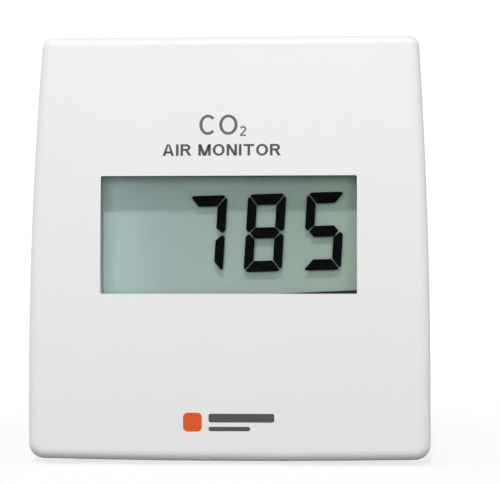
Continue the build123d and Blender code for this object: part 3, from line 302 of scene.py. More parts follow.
PAINTS = {
    "housing": housing_paint("housing", (0.86, 0.86, 0.855, 1)),
    "board": board_paint("board", linear(14, 82, 44)),
    "board_edge": plastic("board_edge", linear(148, 142, 92), rough=0.7, grain=0.12, depth=0.02, tone=0.14),
    "screw": metal("screw", (0.60, 0.60, 0.61, 1), stretch=EVEN, scratch=0.2),
    "terminal": plastic("terminal", linear(30, 122, 74), rough=0.42, grain=0.3, depth=0.005, tone=0.05),
    "tin": metal("tin", (0.66, 0.65, 0.62, 1), rough=0.34),
    "brass": metal("brass", linear(205, 176, 104), stretch=ALONG_X),
    "gold": metal("gold", linear(226, 186, 98), rough=0.22, stretch=EVEN, scratch=0.4, depth=0.001),
    "black": plastic("black", linear(30, 30, 32), grain=0.15, depth=0.008, tone=0.12),
    "chip": plastic("chip", linear(38, 38, 40), rough=0.6, grain=0.1, depth=0.012, tone=0.15),
    "window": clear_paint("window", (0.985, 0.99, 0.985, 1), rough=0.02, least=0.039, most=1.0),
    "tape": plastic("tape", linear(24, 26, 26), rough=0.7, grain=0.2, depth=0.01, tone=0.1),
    "foam": foam_paint("foam", linear(196, 200, 196)),
    "polariser": clear_paint("polariser", (0.95, 0.96, 0.95, 1), rough=0.12, least=0.002, most=0.2),
    "glass": clear_paint("glass", (0.985, 0.995, 0.99, 1), rough=0.02, least=0.001, most=0.2),
    # Left and right colours of the reflector: painted shade makes the right darker and yellower than the
    # left.
    "reflector": reflector_paint("reflector", (0.61, 0.71, 0.77, 1), (0.51, 0.60, 0.55, 1)),
    "segment": plastic("segment", linear(13, 16, 20), rough=0.6, grain=0.1, depth=0.001, tone=0.1,
                       specular=0.03),
    "holder": plastic("holder", linear(222, 222, 216), rough=0.55),
    "rubber": layered_rubber_paint("rubber"),
    "chamber": plastic("chamber", linear(224, 222, 212), grain=0.25, depth=0.008, tone=0.05),
    "membrane": weave_paint("membrane", WARM_WHITE, 0.35 * MM),
    "nickel": metal("nickel", (0.72, 0.71, 0.68, 1), rough=0.18, stretch=ALONG_X),
    "dark_lens": plastic("dark_lens", linear(30, 26, 40), rough=0.12, grain=0.5, depth=0.0005, tone=0.2,
                         coat=0.6),
    "switch": plastic("switch", linear(28, 72, 150), rough=0.38, grain=0.25, depth=0.005, tone=0.06,
                      coat=0.1),
    "slider": plastic("slider", WARM_WHITE, rough=0.45),
    "trimmer": plastic("trimmer", linear(34, 88, 168), rough=0.36, grain=0.25, depth=0.004, tone=0.06,
                       coat=0.15),
    "aluminium": metal("aluminium", (0.80, 0.80, 0.81, 1), rough=0.26, stretch=ALONG_Y),
    "ferrite": plastic("ferrite", linear(62, 62, 64), rough=0.66, grain=0.12, depth=0.02, tone=0.15),
    "resistor": plastic("resistor", linear(24, 24, 28), rough=0.3, grain=0.1, depth=0.002, tone=0.1,
                        coat=0.2),
    "ceramic": plastic("ceramic", linear(176, 142, 104), rough=0.42, grain=0.1, depth=0.004, tone=0.1),
    "solder": metal("solder", (0.70, 0.70, 0.69, 1), rough=0.2, stretch=EVEN, scratch=0.5, depth=0.004),
    "copper_track": plastic("copper_track", linear(34, 122, 66), rough=0.3, grain=0.2, depth=0.002,
                            tone=0.08, coat=0.3),
    "silk": ink_paint("silk", linear(222, 224, 218)),
    "legend_light": ink_paint("legend_light", linear(104, 104, 106)),
    "legend_dark": ink_paint("legend_dark", linear(84, 84, 86)),
    "mark_orange": ink_paint("mark_orange", linear(222, 88, 36)),
    "mark_grey": ink_paint("mark_grey", linear(86, 82, 80)),
}


# --- Materials of the CAD nodes --------------------------------------------------------------

SINGLE = {
    "back_plate": "housing", "front_cover": "housing", "terminal_housing": "terminal",
    "terminal_board_screws": "screw", "main_board_screws": "screw", "terminal_contacts": "tin",
    "header_strip": "black", "header_socket": "black", "header_pins": "gold", "sensor_pins": "gold",
    "sensor_spacers": "black", "display_window": "window", "window_tape": "tape", "display_gasket": "foam",
    "lcd_front_polariser": "polariser", "lcd_front_glass": "glass", "lcd_rear_glass": "glass",
    "lcd_reflector": "reflector", "lcd_segments": "segment", "lcd_holder": "holder",
    "zebra_strips": "rubber", "dust_filter": "membrane", "crystal": "nickel", "button_body": "black",
    "zero_button": "black", "dip_switch_body": "switch", "trimmer_body": "trimmer", "trimmer_rotor": "brass",
    "power_inductor": "ferrite",
}
for number in range(1, 6):
    SINGLE[f"terminal_screw_{number}"] = "screw"
    SINGLE[f"terminal_clamp_{number}"] = "tin"
for number in range(1, 5):
    SINGLE[f"dip_slider_{number}"] = "slider"

LEAD_LENGTH = 1.02 * MM          # a chip's leads, past its body
DIODE_CAP = 0.28 * MM
CAP_SHARE = 0.28                 # a chip resistor's plated end starts this far from its middle
CAN_FOOT = 1.25 * MM             # the plastic foot under an aluminium can
LEG_HEIGHT = 0.52 * MM           # the regulator's legs and tab, above the board
REGULATOR_MIDDLE = 0.2 * MM      # its body's middle, above the middle of all of it
REGULATOR_HALF = 2.98 * MM
CHAMBER_SKIN = 0.3 * MM
LENS_DEPTH = (0.2 * MM, 0.7 * MM)


def paint(node, *names, choose=None):
    """Gives a CAD node its materials. choose says, from a face's centre and normal, which one it takes."""
    mesh = NODES[node].data
    mesh.materials.clear()
    for name in names:
        mesh.materials.append(PAINTS[name])
    for face in mesh.polygons:
        face.material_index = choose(face.center, face.normal) if choose else 0


def islands(node):
    """The boxes of a CAD node's separate solids, each as (lowest corner, highest corner)."""
    mesh = NODES[node].data
    parent = {}

    def root(key):
        while parent[key] != key:
            parent[key] = parent[parent[key]]
            key = parent[key]
        return key

    keys = [tuple(round(c * 1e6) for c in v.co) for v in mesh.vertices]
    for key in keys:
        parent.setdefault(key, key)
    for face in mesh.polygons:
        first = root(keys[face.vertices[0]])
        for index in face.vertices[1:]:
            parent[root(keys[index])] = first
    boxes = {}
    for vertex, key in zip(mesh.vertices, keys):
        lowest, highest = boxes.setdefault(root(key), ([1e9] * 3, [-1e9] * 3))
        for i in range(3):
            lowest[i] = min(lowest[i], vertex.co[i])
            highest[i] = max(highest[i], vertex.co[i])
    return sorted((Vector(a), Vector(b)) for a, b in boxes.values())


def beyond(margin, axes):
    """Picks the second material for what lies within margin of a box's ends along any of some axes."""
    def test(centre, box):
        return 1 if any(
            abs(centre[i] - (box[0][i] + box[1][i]) / 2) > (box[1][i] - box[0][i]) / 2 - margin for i in axes
        ) else 0
    return test


def by_island(node, test):
    """Picks a material by asking test(centre, box of the solid that the face belongs to)."""
    boxes = islands(node)

    def choose(centre, normal):
        for box in boxes:
            if all(box[0][i] - 1e-6 <= centre[i] <= box[1][i] + 1e-6 for i in range(3)):
                return test(centre, box)
        return 0
    return choose


def whole_node(node, test):
    """Picks a material by asking test(centre, box of the whole node)."""
    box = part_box(node)
    return lambda centre, normal: test(centre, box)


def end_caps(centre, box):
    """The plated ends of a chip resistor or capacitor, on its longer axis."""
    size = box[1] - box[0]
    long_axis = 0 if size.x > size.z else 2
    middle = (box[0][long_axis] + box[1][long_axis]) / 2
    return 1 if abs(centre[long_axis] - middle) > size[long_axis] * CAP_SHARE else 0


def above_foot(centre, box):
    return 1 if centre.y > box[0].y + CAN_FOOT else 0


def regulator_metal(centre, box):
    low_down = centre.y < box[0].y + LEG_HEIGHT
    from_body = abs(centre.z - (box[0].z + box[1].z) / 2 - REGULATOR_MIDDLE)
    return 1 if low_down and from_body > REGULATOR_HALF else 0


def inside_chamber(centre, normal):
    """Gold on the inner walls of the measuring channel, plain plastic outside."""
    first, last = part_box("chamber_base")[0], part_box("chamber_lid")[1]
    deep = all(first[i] + CHAMBER_SKIN < centre[i] < last[i] - CHAMBER_SKIN for i in range(3))
    return 1 if deep else 0


def lens_face(mouth, side):
    """The dark lens, set back in the mouth of a lamp or detector."""
    def choose(centre, normal):
        set_back = LENS_DEPTH[0] < abs(centre.x - mouth) < LENS_DEPTH[1]
        return 1 if set_back and abs(normal.x) > 0.9 and normal.x * side > 0 else 0
    return choose


for node, name in SINGLE.items():
    paint(node, name)
for node in ("main_board", "terminal_board", "co2_sensor_board"):
    paint(node, "board", "board_edge", choose=lambda centre, normal: 0 if abs(normal.y) > 0.9 else 1)
for node in ("chamber_base", "chamber_lid"):
    paint(node, "chamber", "gold", choose=inside_chamber)
paint("microcontroller", "chip", "tin", choose=whole_node("microcontroller", beyond(LEAD_LENGTH, (0, 2))))
paint("interface_chips", "chip", "tin", choose=by_island("interface_chips", beyond(LEAD_LENGTH, (0,))))
paint("chip_resistors", "resistor", "tin", choose=by_island("chip_resistors", end_caps))
paint("chip_capacitors", "ceramic", "tin", choose=by_island("chip_capacitors", end_caps))
paint("protection_diodes", "chip", "tin", choose=by_island("protection_diodes", beyond(DIODE_CAP, (0,))))
paint("bulk_capacitors", "black", "aluminium", choose=by_island("bulk_capacitors", above_foot))
paint("voltage_regulator", "chip", "tin", choose=by_island("voltage_regulator", regulator_metal))
paint("infrared_lamp", "nickel", "dark_lens", choose=lens_face(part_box("infrared_lamp")[1].x, 1))
paint("infrared_detector", "nickel", "dark_lens", choose=lens_face(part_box("infrared_detector")[0].x, -1))


# --- Pieces ----------------------------------------------------------------------------------

def piece(name, mesh_builder, body, material):
    """A closed mesh piece that rides on a body."""
    shape = bmesh.new()
    mesh_builder(shape)
    bmesh.ops.remove_doubles(shape, verts=shape.verts, dist=1e-7)
    bmesh.ops.recalc_face_normals(shape, faces=shape.faces)
    mesh = bpy.data.meshes.new(name)
    shape.to_mesh(mesh)
    shape.free()
    made = bpy.data.objects.new(name, mesh)
    bpy.context.scene.collection.objects.link(made)
    mesh.materials.append(PAINTS[material])
    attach(made, body)


def slab(shape, outline, back, front):
    """A flat polygon of (x, z) points between two depths."""
    lower = [shape.verts.new((x, back, z)) for x, z in outline]
    upper = [shape.verts.new((x, front, z)) for x, z in outline]
    shape.faces.new(lower)
    shape.faces.new(upper[::-1])
    count = len(outline)
    for i in range(count):
        shape.faces.new((lower[i], upper[i], upper[(i + 1) % count], lower[(i + 1) % count]))


def ribbon(shape, points, width, back, front):
    """A track of one width along straight runs, with mitred corners."""
    left, right = [], []
    for i, point in enumerate(points):
        before = (Vector(point) - Vector(points[i - 1])).normalized() if i else None
        after = (Vector(points[i + 1]) - Vector(point)).normalized() if i < len(points) - 1 else None
        heading = ((before or after) + (after or before)).normalized()
        side = Vector((-heading.y, heading.x))
        stretch = 1 / max(0.5, side.dot(Vector((-(before or after).y, (before or after).x))))
        offset = side * (width / 2 * stretch)
        left.append(Vector(point) + offset)
        right.append(Vector(point) - offset)
    slab(shape, [tuple(v) for v in left + right[::-1]], back, front)


def jog(start, end):
    """A route from start to end: straight, then a 45 degree run, then straight."""
    (x0, z0), (x1, z1) = start, end
    dx, dz = x1 - x0, z1 - z0
    if min(abs(dx), abs(dz)) < 0.3 * MM:
        return [start, end]
    slant = min(abs(dx), abs(dz))
    if abs(dx) > abs(dz):
        rest = (abs(dx) - slant) / 2 * math.copysign(1, dx)
        return [start, (x0 + rest, z0), (x1 - rest, z1), end]
    rest = (abs(dz) - slant) / 2 * math.copysign(1, dz)
    return [start, (x0, z0 + rest), (x1, z1 - rest), end]


def around(x, z, radius, count):
    """Evenly spaced (x, z) points on a circle."""
    angles = [i * WHOLE_TURN / count for i in range(count)]
    return [(x + radius * math.cos(a), z + radius * math.sin(a)) for a in angles]


def disc(shape, x, z, radius, back, front, count=20):
    slab(shape, around(x, z, radius, count), back, front)


def lathe(shape, x, z, profile, count=16):
    """A turned solid about a line along Y, from (radius, y) points. Flat ends close it."""
    rings = [
        [shape.verts.new((px, y, pz)) for px, pz in around(x, z, radius, count)]
        for radius, y in profile
    ]
    for a, b in zip(rings, rings[1:]):
        for i in range(count):
            shape.faces.new((a[i], a[(i + 1) % count], b[(i + 1) % count], b[i]))
    shape.faces.new(rings[0])
    shape.faces.new(rings[-1][::-1])


def frame_line(shape, first, last, margin, back, front, top_margin=None):
    """A printed rectangle round the box from first to last."""
    x0, x1 = first.x - margin, last.x + margin
    z0, z1 = first.z - margin, last.z + (margin if top_margin is None else top_margin)
    corners = ((x0, z0), (x1, z0), (x1, z1), (x0, z1))
    for a, b in zip(corners, corners[1:] + corners[:1]):
        along = (Vector(b) - Vector(a)).normalized() * (PRINT_LINE / 2)
        ribbon(shape, [tuple(Vector(a) - along), tuple(Vector(b) + along)], PRINT_LINE, back, front)


# --- Printing on the cover -------------------------------------------------------------------

INK = 0.02 * MM
SYMBOL_HEIGHT, SYMBOL_WIDTH = 4.12 * MM, 8.1 * MM
SYMBOL_PLACE = (-2.15 * MM, 23.62 * MM)        # the middle of the line's foot, as (x, z)
INDEX_HEIGHT, INDEX_WIDTH = 2.1 * MM, 1.25 * MM
INDEX_PLACE = (3.05 * MM, 23.3 * MM)
CAPTION_HEIGHT, CAPTION_WIDTH = 2.4 * MM, 24.7 * MM
CAPTION_PLACE = (-1.4 * MM, 19.2 * MM)
DOT = (-9.3, -5.4, -38.0, -34.1)               # x from and to, z from and to, in millimetres
BARS = ((-4.0, 9.6, -36.1, -34.3), (-4.0, 4.6, -37.9, -37.0))
DOT_ROUNDING, BAR_ROUNDING = 0.9, 0.42

cover_tree = BVHTree.FromPolygons(
    [v.co.copy() for v in NODES["front_cover"].data.vertices],
    [tuple(f.vertices) for f in NODES["front_cover"].data.polygons],
)


def surface_y(x, z):
    """Depth of the cover's outer face at a point seen from the front."""
    in_front = CAD_BOX[0].y - 10 * MM
    return cover_tree.ray_cast(Vector((x, in_front, z)), Vector((0, 1, 0)))[0].y


def lay_on_cover(shape):
    """Bends flat ink, drawn with its back at y = 0, onto the curved face."""
    for vertex in shape.verts:
        vertex.co.y += surface_y(vertex.co.x, vertex.co.z) - 0.5 * INK


def box_shape(x0, x1, z0, z1):
    return [(x0, z0), (x1, z0), (x1, z1), (x0, z1)]


def ring(shape, x, z, outer, inner, start=0, end=360, count=32):
    """A band between two ellipses, whole or from one angle to another."""
    whole = end - start == 360
    steps = [math.radians(start + (end - start) * i / count) for i in range(count if whole else count + 1)]

    def loop(radii, y):
        return [shape.verts.new((x + radii[0] * math.cos(a), y, z + radii[1] * math.sin(a))) for a in steps]

    loops = [loop(outer, 0), loop(outer, -INK), loop(inner, -INK), loop(inner, 0)]
    for a, b in zip(loops, loops[1:] + loops[:1]):
        for i in range(len(steps) - (0 if whole else 1)):
            j = (i + 1) % len(steps)
            shape.faces.new((a[i], a[j], b[j], b[i]))
    if not whole:
        shape.faces.new([each[0] for each in loops])
        shape.faces.new([each[-1] for each in loops][::-1])


# Each letter is drawn in a square 1 high. These are the widths there. An I is one stroke wide.
LETTER_WIDTHS = {
    "A": 0.88, "C": 0.86, "I": 0.0, "M": 0.96, "N": 0.80, "O": 0.92, "R": 0.84, "T": 0.82,
    "2": 0.60, " ": 0.24,
}
LEVEL_SHARE = 0.88               # a level stroke's thickness, as a share of an upright one's


def letter(shape, name, place, stroke):
    """One plain capital or figure, in strokes. place gives the point for a spot in the letter's square."""
    width = LETTER_WIDTHS[name]
    thick, thin = stroke, stroke * LEVEL_SHARE

    def area(*corners):
        slab(shape, [place(*corner) for corner in corners], 0, -INK)

    def band(x, z, radius_x, radius_z, start=0, end=360):
        centre, edge = place(x, z), place(x + radius_x, z + radius_z)
        inside = place(x + radius_x - thick, z + radius_z - thin)
        outer = (edge[0] - centre[0], edge[1] - centre[1])
        ring(shape, *centre, outer, (inside[0] - centre[0], inside[1] - centre[1]), start, end)

    if name == "I":
        area(*box_shape(0, thick, 0, 1))
    elif name == "T":
        area(*box_shape(0, width, 1 - thin, 1))
        area(*box_shape((width - thick) / 2, (width + thick) / 2, 0, 1 - thin))
    elif name == "A":
        middle = width / 2
        for side in (-1, 1):
            area((middle + side * middle, 0), (middle + side * (middle - thick * 1.1), 0),
                 (middle - side * thick * 0.1, 1), (middle + side * thick * 0.6, 1))
        area(*box_shape(middle * 0.45, middle * 1.55, 0.21, 0.21 + thin))
    elif name in "MN":
        area(*box_shape(0, thick, 0, 1))
        area(*box_shape(width - thick, width, 0, 1))
        foot = width / 2 if name == "M" else width - thick / 2
        area((0, 1), (thick * 1.15, 1), (foot + thick / 2, 0), (foot - thick * 0.65, 0))
        if name == "M":
            area((width, 1), (width - thick * 1.15, 1), (foot - thick / 2, 0), (foot + thick * 0.65, 0))
    elif name == "O":
        band(width / 2, 0.5, width / 2, 0.515)
    elif name == "C":
        band(width / 2 + 0.02, 0.5, width / 2, 0.515, 42, 318)
    elif name == "R":
        area(*box_shape(0, thick, 0, 1))
        area(*box_shape(thick, width * 0.56, 1 - thin, 1))
        area(*box_shape(thick, width * 0.56, 0.43, 0.43 + thin))
        band(width * 0.56, 0.715, width * 0.36, 0.285, -90, 90)
        area((width * 0.44, 0.45), (width * 0.70, 0.45), (width, 0), (width - thick * 1.2, 0))
    elif name == "2":
        angles = [math.radians(t) for t in range(165, -46, -15)]
        arc = [(width * (0.5 + 0.40 * math.cos(a)), 0.70 + 0.22 * math.sin(a)) for a in angles]
        line = [place(*spot) for spot in arc + [(width * 0.10, thin * 0.7)]]
        ribbon(shape, line, place(stroke, 0)[0] - place(0, 0)[0], 0, -INK)
        area(*box_shape(0, width, 0, thin))


def words_shape(shape, words, height, foot, width, stroke, gap):
    """A line of plain capitals, so wide and so high in all. foot is the middle of its lower edge."""
    sizes = [LETTER_WIDTHS[name] or stroke for name in words]
    scale = width / (sum(sizes) + gap * (len(words) - 1))
    left = foot[0] - width / 2
    for name, size in zip(words, sizes):
        start = left

        def place(x, z, start=start):
            return start + x * scale, foot[1] + z * height

        if name != " ":
            letter(shape, name, place, stroke)
        left += (size + gap) * scale


def symbol(shape):
    words_shape(shape, "CO", SYMBOL_HEIGHT, SYMBOL_PLACE, SYMBOL_WIDTH, stroke=0.155, gap=0.15)
    words_shape(shape, "2", INDEX_HEIGHT, INDEX_PLACE, INDEX_WIDTH, stroke=0.16, gap=0)
    lay_on_cover(shape)


def caption(shape):
    words_shape(shape, "AIR MONITOR", CAPTION_HEIGHT, CAPTION_PLACE, CAPTION_WIDTH, stroke=0.20, gap=0.15)
    lay_on_cover(shape)


def rounded_bar(shape, sides, radius, steps=8):
    """A rectangle with rounded corners, from its sides and radius in millimetres."""
    x0, x1, z0, z1 = sides
    centres = ((x1 - radius, z1 - radius), (x0 + radius, z1 - radius),
               (x0 + radius, z0 + radius), (x1 - radius, z0 + radius))
    points = []
    for corner, (x, z) in enumerate(centres):
        for i in range(steps + 1):
            a = math.radians(90 * (corner + i / steps))
            points.append(((x + radius * math.cos(a)) * MM, (z + radius * math.sin(a)) * MM))
    slab(shape, points, 0, -INK)


def mark_dot(shape):
    rounded_bar(shape, DOT, DOT_ROUNDING)
    lay_on_cover(shape)


def mark_bar(shape):
    for sides in BARS:
        rounded_bar(shape, sides, BAR_ROUNDING)
    lay_on_cover(shape)


piece("legend_symbol", symbol, "cover", "legend_light")
piece("legend_caption", caption, "cover", "legend_dark")
piece("mark_dot", mark_dot, "cover", "mark_orange")
piece("mark_bar", mark_bar, "cover", "mark_grey")


# --- Printing and solder on the main board ---------------------------------------------------

TRACK = 0.035 * MM               # a track's height above the board
PRINT_HEIGHT = 1.3 * TRACK
PAD_HEIGHT = 1.2 * TRACK
PIN_PITCH = 2.54 * MM
PRINT_LINE = 0.18 * MM
PRINT_MARGIN = 0.55 * MM
FOOT_RADIUS, PIN_RADIUS, SOLDER_RISE = 0.95 * MM, 0.45 * MM, 0.62 * MM

# Widths, and places as (x, z), on the main board in millimetres. A step leads to the next of a row.
LEAD_START, LEAD_PITCH = 1.7, 0.8          # the processor's leads that tracks meet, from its corner
HEAVY_TRACK, SIGNAL_TRACK, THIN_TRACK = 0.4, 0.35, 0.3
SOCKET_BEND, SOCKET_STEP = (12.5, -16.5), (0.9, 0.7)
SENSOR_X, SENSOR_Z = 17.4, 24.0
SWITCH_X, SWITCH_FOOT_Z = -27.0, 6.4
SWITCH_BEND, SWITCH_STEP = (-16.0, -2.0), (1.0, 0.0)
SWITCH_END, SWITCH_END_STEP = (14.6, 7.4), (0.0, -1.2)
CONTROLS_START, CONTROLS_STEP = (-23.4, -8.0), (0.0, -6.0)
CONTROLS_END, CONTROLS_END_STEP = (10.0, -5.0), (0.0, -1.6)
STUB_LENGTH, STUB_WIDTH = 3.2, 1.6         # short wide tracks below the two cans
STUB_TOPS = ((-27.5, 19.5), (27.5, 19.2))
INDUCTOR_STUB, INDUCTOR_STUB_LENGTH, INDUCTOR_STUB_WIDTH = (25.0, -21.8), 1.4, 2.4
TEST_PADS, TEST_PAD_STEP, TEST_PAD_RADIUS = (-10.0, 12.2), (2.8, 0.0), 0.75
EDGE_PADS, EDGE_PAD_STEP, EDGE_PAD_RADIUS = (-33.4, -30.0), (0.0, 2.6), 0.7
SCREW_X, SCREW_Z = 31.5, 33.5
SCREW_RING, RING_HOLE = 3.0, 0.28          # a ring of small holes round each screw

board_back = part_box("main_board")[1].y
chip_low, chip_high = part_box("microcontroller")
socket_low, socket_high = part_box("header_socket")


def spot(start, step, i):
    """The place of number i in a row, in metres."""
    return tuple((a + i * b) * MM for a, b in zip(start, step))


def tracks(shape):
    """Tracks on the main board, from the socket, the sensor and the controls to the processor."""
    span = board_back, board_back + TRACK
    middle = (socket_low.x + socket_high.x) / 2

    def run(start, end, width):
        ribbon(shape, jog(start, end), width * MM, *span)

    def lead_x(i):
        return chip_low.x + (LEAD_START + i * LEAD_PITCH) * MM

    def stub(top, length, width):
        x, z = top
        ribbon(shape, [(x * MM, z * MM), (x * MM, (z - length) * MM)], width * MM, *span)

    for i in range(6):
        pin = (middle + (i - 2.5) * PIN_PITCH, socket_high.z + 0.4 * MM)
        bend = spot(SOCKET_BEND, SOCKET_STEP, i)
        run(pin, bend, HEAVY_TRACK)
        run(bend, (lead_x(i), chip_low.z - 0.2 * MM), THIN_TRACK)
    for i in range(5):
        pin = (SENSOR_X * MM, SENSOR_Z * MM + (i - 2) * PIN_PITCH)
        run(pin, (lead_x(i), chip_high.z + 0.3 * MM), THIN_TRACK)
    for i in range(4):
        pin = (SWITCH_X * MM + (i - 1.5) * PIN_PITCH, SWITCH_FOOT_Z * MM)
        bend = spot(SWITCH_BEND, SWITCH_STEP, i)
        run(pin, bend, SIGNAL_TRACK)
        run(bend, spot(SWITCH_END, SWITCH_END_STEP, i), THIN_TRACK)
    for i in range(3):
        end = spot(CONTROLS_END, CONTROLS_END_STEP, i)
        run(spot(CONTROLS_START, CONTROLS_STEP, i), end, SIGNAL_TRACK)
    for top in STUB_TOPS:
        stub(top, STUB_LENGTH, STUB_WIDTH)
    stub(INDUCTOR_STUB, INDUCTOR_STUB_LENGTH, INDUCTOR_STUB_WIDTH)


def pads(shape):
    """Bare pads, test points and the holes round the screws on the main board."""
    span = board_back, board_back + PAD_HEIGHT
    for i in range(8):
        disc(shape, *spot(TEST_PADS, TEST_PAD_STEP, i), TEST_PAD_RADIUS * MM, *span)
    for i in range(4):
        disc(shape, *spot(EDGE_PADS, EDGE_PAD_STEP, i), EDGE_PAD_RADIUS * MM, *span)
    for x, z in ((SCREW_X, SCREW_Z), (-SCREW_X, SCREW_Z), (SCREW_X, -SCREW_Z), (-SCREW_X, -SCREW_Z)):
        for hole_x, hole_z in around(x, z, SCREW_RING, 12):
            disc(shape, hole_x * MM, hole_z * MM, RING_HOLE * MM, *span, count=10)


def silk(shape):
    """White outlines round the components on the main board, and a dot at the processor's first lead."""
    span = board_back, board_back + PRINT_HEIGHT
    for node in ("microcontroller", "interface_chips", "voltage_regulator", "protection_diodes",
                 "power_inductor", "crystal", "bulk_capacitors", "dip_switch_body", "button_body",
                 "trimmer_body", "header_socket"):
        for first, last in islands(node):
            frame_line(shape, first, last, PRINT_MARGIN, *span)
    frame_line(shape, *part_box("co2_sensor_board"), PRINT_MARGIN, *span)
    disc(shape, chip_low.x - 0.2 * MM, chip_high.z + 1.1 * MM, 0.3 * MM, *span, count=12)


def sensor_solder(shape):
    """Solder drawn up each pin of the sensor's board: wide on the board and thin at the top."""
    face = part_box("co2_sensor_board")[1].y
    for first, last in islands("sensor_pins"):
        lathe(shape, (first.x + last.x) / 2, (first.z + last.z) / 2, [
            (FOOT_RADIUS, face - 0.02 * MM), (FOOT_RADIUS, face + 0.03 * MM),
            (FOOT_RADIUS * 0.72, face + SOLDER_RISE * 0.35), (PIN_RADIUS * 1.25, face + SOLDER_RISE * 0.75),
            (PIN_RADIUS * 1.02, face + SOLDER_RISE), (PIN_RADIUS * 0.3, face + SOLDER_RISE * 1.02),
        ])


piece("board_tracks", tracks, "cover", "copper_track")
piece("board_pads", pads, "cover", "solder")
piece("board_printing", silk, "cover", "silk")
piece("sensor_solder", sensor_solder, "cover", "solder")


# --- Printing on the terminal board ----------------------------------------------------------

POLE_PITCH = 5.08 * MM
POLE_TRACK = 1.0 * MM
TERMINAL_MARGIN = 0.5 * MM
TERMINAL_TOP_MARGIN = 0.35 * MM

terminal_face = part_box("terminal_board")[0].y
block_low, block_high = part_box("terminal_housing")
strip_low, strip_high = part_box("header_strip")


def terminal_tracks(shape):
    """Wide tracks from each pole to the pin header."""
    span = terminal_face, terminal_face - TRACK
    for i in range(5):
        pole = ((i - 2) * POLE_PITCH, block_low.z - 0.1 * MM)
        pin = ((i - 2) * PIN_PITCH, strip_high.z + 0.1 * MM)
        ribbon(shape, jog(pole, pin), POLE_TRACK, *span)


def terminal_silk(shape):
    """White lines round the pin header and the terminal block."""
    span = terminal_face, terminal_face - PRINT_HEIGHT
    frame_line(shape, strip_low, strip_high, TERMINAL_MARGIN, *span)
    frame_line(shape, block_low, block_high, TERMINAL_MARGIN, *span, top_margin=TERMINAL_TOP_MARGIN)


piece("terminal_board_tracks", terminal_tracks, "base", "copper_track")
piece("terminal_board_printing", terminal_silk, "base", "silk")


# --- Studio ----------------------------------------------------------------------------------

KEY_POWER, KEY_ELEVATION, KEY_DISTANCE, KEY_SIZE = 4.9, 54.0, 1.1, (0.06, 0.06)
FILL_POWER, FILL_ELEVATION, FILL_DISTANCE, FILL_SIZE = 2.05, 8.0, 0.6, (0.6, 0.3)
LAMP_TARGET = Vector((0, -0.02, 0))
SKY_ABOVE = 0.42                 # the light from straight up
SKY_BELOW = 0.0                  # and from straight down
SKY_SEEN = 1.05                  # what the camera sees behind the object
SIDE_LEFT = (1.50, 1.55, 1.57)   # the pale surroundings, left and right of the object and behind it
SIDE_RIGHT = (1.12, 1.10, 1.07)
FLOOR_HALF = 1.0
FLOOR_GAP = 0.02 * MM
FADE_FROM, FADE_TO = 0.06, 0.15  # how far from the object's middle the floor fades out
CLEAR_NEAR = 0.7                 # how clear it already is before that
CARD_Y = -0.60
CARD_SIDES = (-0.30, 0.30, -0.20, 0.25)
SHEET_BOUNCES = 64               # light crosses the display's clear sheets both ways


def stage_sheet(name, corners):
    """A flat sheet that belongs to the studio."""
    mesh = bpy.data.meshes.new(name)
    mesh.from_pydata(corners, [], [(0, 1, 2, 3)])
    made = bpy.data.objects.new(name, mesh)
    bpy.context.scene.collection.objects.link(made)
    made.visible_diffuse = False
    return made


def soft_floor():
    """A pale sheet under the object that fades into the white surroundings."""
    z = CAD_BOX[0].z - FLOOR_GAP
    half = FLOOR_HALF
    made = stage_sheet("floor", [(x, y, z) for x, y in box_shape(-half, half, -half, half)])
    p = Paint("floor")
    grain = p.noise(0.05, 3)
    tint = p.blend(p.range(grain, 0.3, 0.7), (0.90, 0.90, 0.90, 1), (0.93, 0.93, 0.93, 1))
    sheet = p.node("ShaderNodeBsdfDiffuse", Color=tint)
    clear = p.node("ShaderNodeBsdfTransparent")
    away = p.node("ShaderNodeVectorMath", {"operation": "LENGTH"}, Vector=p.place).outputs["Value"]
    share = p.range(away, FADE_FROM, FADE_TO, CLEAR_NEAR, 1.0)
    made.data.materials.append(p.surface(p.shader_mix(share, sheet, clear)))


def dark_card():
    """A dark cloth in front of the object, seen only as a reflection."""
    made = stage_sheet("card", [(x, CARD_Y, z) for x, z in box_shape(*CARD_SIDES)])
    p = Paint("card")
    folds = p.noise(0.05, 3, (1, 1, 0.3))
    tint = p.blend(folds, (0.02, 0.02, 0.022, 1), (0.04, 0.04, 0.042, 1))
    made.data.materials.append(p.finish(Base_Color=tint, Roughness=0.9, Specular_IOR_Level=0.0))
    made.visible_camera = False
    made.visible_shadow = False
    made.visible_transmission = False


def direction_from(azimuth, elevation):
    """The unit vector from the object towards a lamp or camera. Azimuth 0 is straight in front."""
    turn, lift = math.radians(azimuth), math.radians(elevation)
    return Vector((math.sin(turn) * math.cos(lift), -math.cos(turn) * math.cos(lift), math.sin(lift)))


def lamp(name, elevation, distance, size, power, glossy):
    """A soft rectangular lamp straight in front, raised, that points at the object."""
    light = bpy.data.lights.new(name, "AREA")
    light.shape = "RECTANGLE"
    light.size, light.size_y = size
    light.energy = power
    made = bpy.data.objects.new(name, light)
    made.visible_glossy = glossy
    bpy.context.scene.collection.objects.link(made)
    out = direction_from(0.0, elevation)
    made.location = LAMP_TARGET + out * distance
    made.rotation_euler = (-out).to_track_quat("-Z", "Y").to_euler()


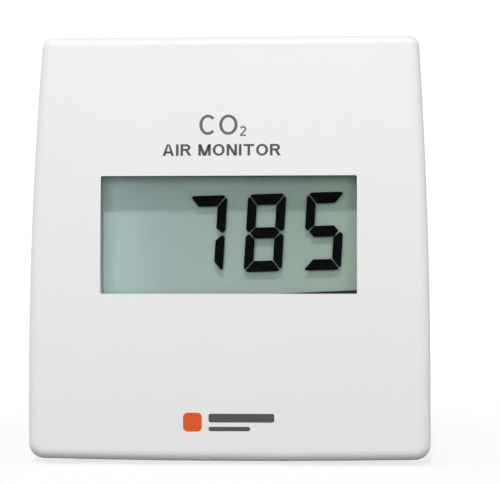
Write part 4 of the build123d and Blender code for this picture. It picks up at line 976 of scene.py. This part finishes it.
def sky():
    """White where the camera looks, and for light a gentle gradient with pale surroundings behind."""
    world = bpy.data.worlds.new("studio")
    world.use_nodes = True
    tree = world.node_tree
    tree.nodes.clear()

    def new(kind, operation=None, **sockets):
        """A node with its sockets set or linked, by name or, as n0 and so on, by number."""
        made = tree.nodes.new(kind)
        if operation:
            made.operation = operation
        for name, value in sockets.items():
            socket = made.inputs[int(name[1:])] if name[0] == "n" else made.inputs[name.replace("_", " ")]
            if isinstance(value, bpy.types.NodeSocket):
                tree.links.new(value, socket)
            else:
                socket.default_value = value
        return made

    def ramp(value, least, most, start=0.0, end=1.0):
        made = new("ShaderNodeMapRange", Value=value, From_Min=least, From_Max=most, To_Min=start, To_Max=end)
        return made.outputs["Result"]

    def vector_step(operation, **sockets):
        return new("ShaderNodeVectorMath", operation, **sockets).outputs[0]

    place = new("ShaderNodeTexCoord").outputs["Generated"]
    direction = new("ShaderNodeSeparateXYZ", n0=place)
    light = ramp(direction.outputs[2], -1.0, 1.0, SKY_BELOW, SKY_ABOVE)
    behind = ramp(direction.outputs[1], -0.1, 0.2)
    for least, most, colour in ((-0.5, -1.0, SIDE_LEFT), (0.5, 1.0, SIDE_RIGHT)):
        share = vector_step("SCALE", n0=colour, n3=ramp(direction.outputs[0], least, most))
        light = vector_step("ADD", n0=vector_step("SCALE", n0=share, n3=behind), n1=light)
    lit = new("ShaderNodeBackground", Color=light, Strength=1.0)
    seen = new("ShaderNodeBackground", Color=(1, 1, 1, 1), Strength=SKY_SEEN)
    from_camera = new("ShaderNodeLightPath").outputs["Is Camera Ray"]
    both = new("ShaderNodeMixShader", n0=from_camera, n1=lit.outputs[0], n2=seen.outputs[0])
    new("ShaderNodeOutputWorld", Surface=both.outputs[0])
    return world


soft_floor()
dark_card()
lamp("key", KEY_ELEVATION, KEY_DISTANCE, KEY_SIZE, KEY_POWER, glossy=True)
lamp("fill", FILL_ELEVATION, FILL_DISTANCE, FILL_SIZE, FILL_POWER, glossy=False)
bpy.context.scene.world = sky()
bpy.context.scene.view_settings.view_transform = "Standard"
bpy.context.scene.cycles.transparent_max_bounces = SHEET_BOUNCES


# --- Camera ----------------------------------------------------------------------------------

CAMERA_AZIMUTH = 3.14
CAMERA_ELEVATION = 0.27
CAMERA_DISTANCE = 0.352
CAMERA_ROLL = -0.11
AIM = Vector((0.00448, -0.0250, 0.00118))
SENSOR = 36.0
FOCAL = 3.38                     # focal length in sensor widths
CLIP = (0.01, 50.0)

eye = bpy.data.cameras.new("camera")
eye.sensor_width = SENSOR
eye.lens = SENSOR * FOCAL
eye.clip_start, eye.clip_end = CLIP
camera = bpy.data.objects.new("camera", eye)
bpy.context.scene.collection.objects.link(camera)
back = direction_from(CAMERA_AZIMUTH, CAMERA_ELEVATION)
camera.location = AIM + back * CAMERA_DISTANCE
turned = (-back).to_track_quat("-Z", "Y").to_matrix() @ Matrix.Rotation(math.radians(CAMERA_ROLL), 3, "Z")
camera.rotation_euler = turned.to_euler()
bpy.context.scene.camera = camera
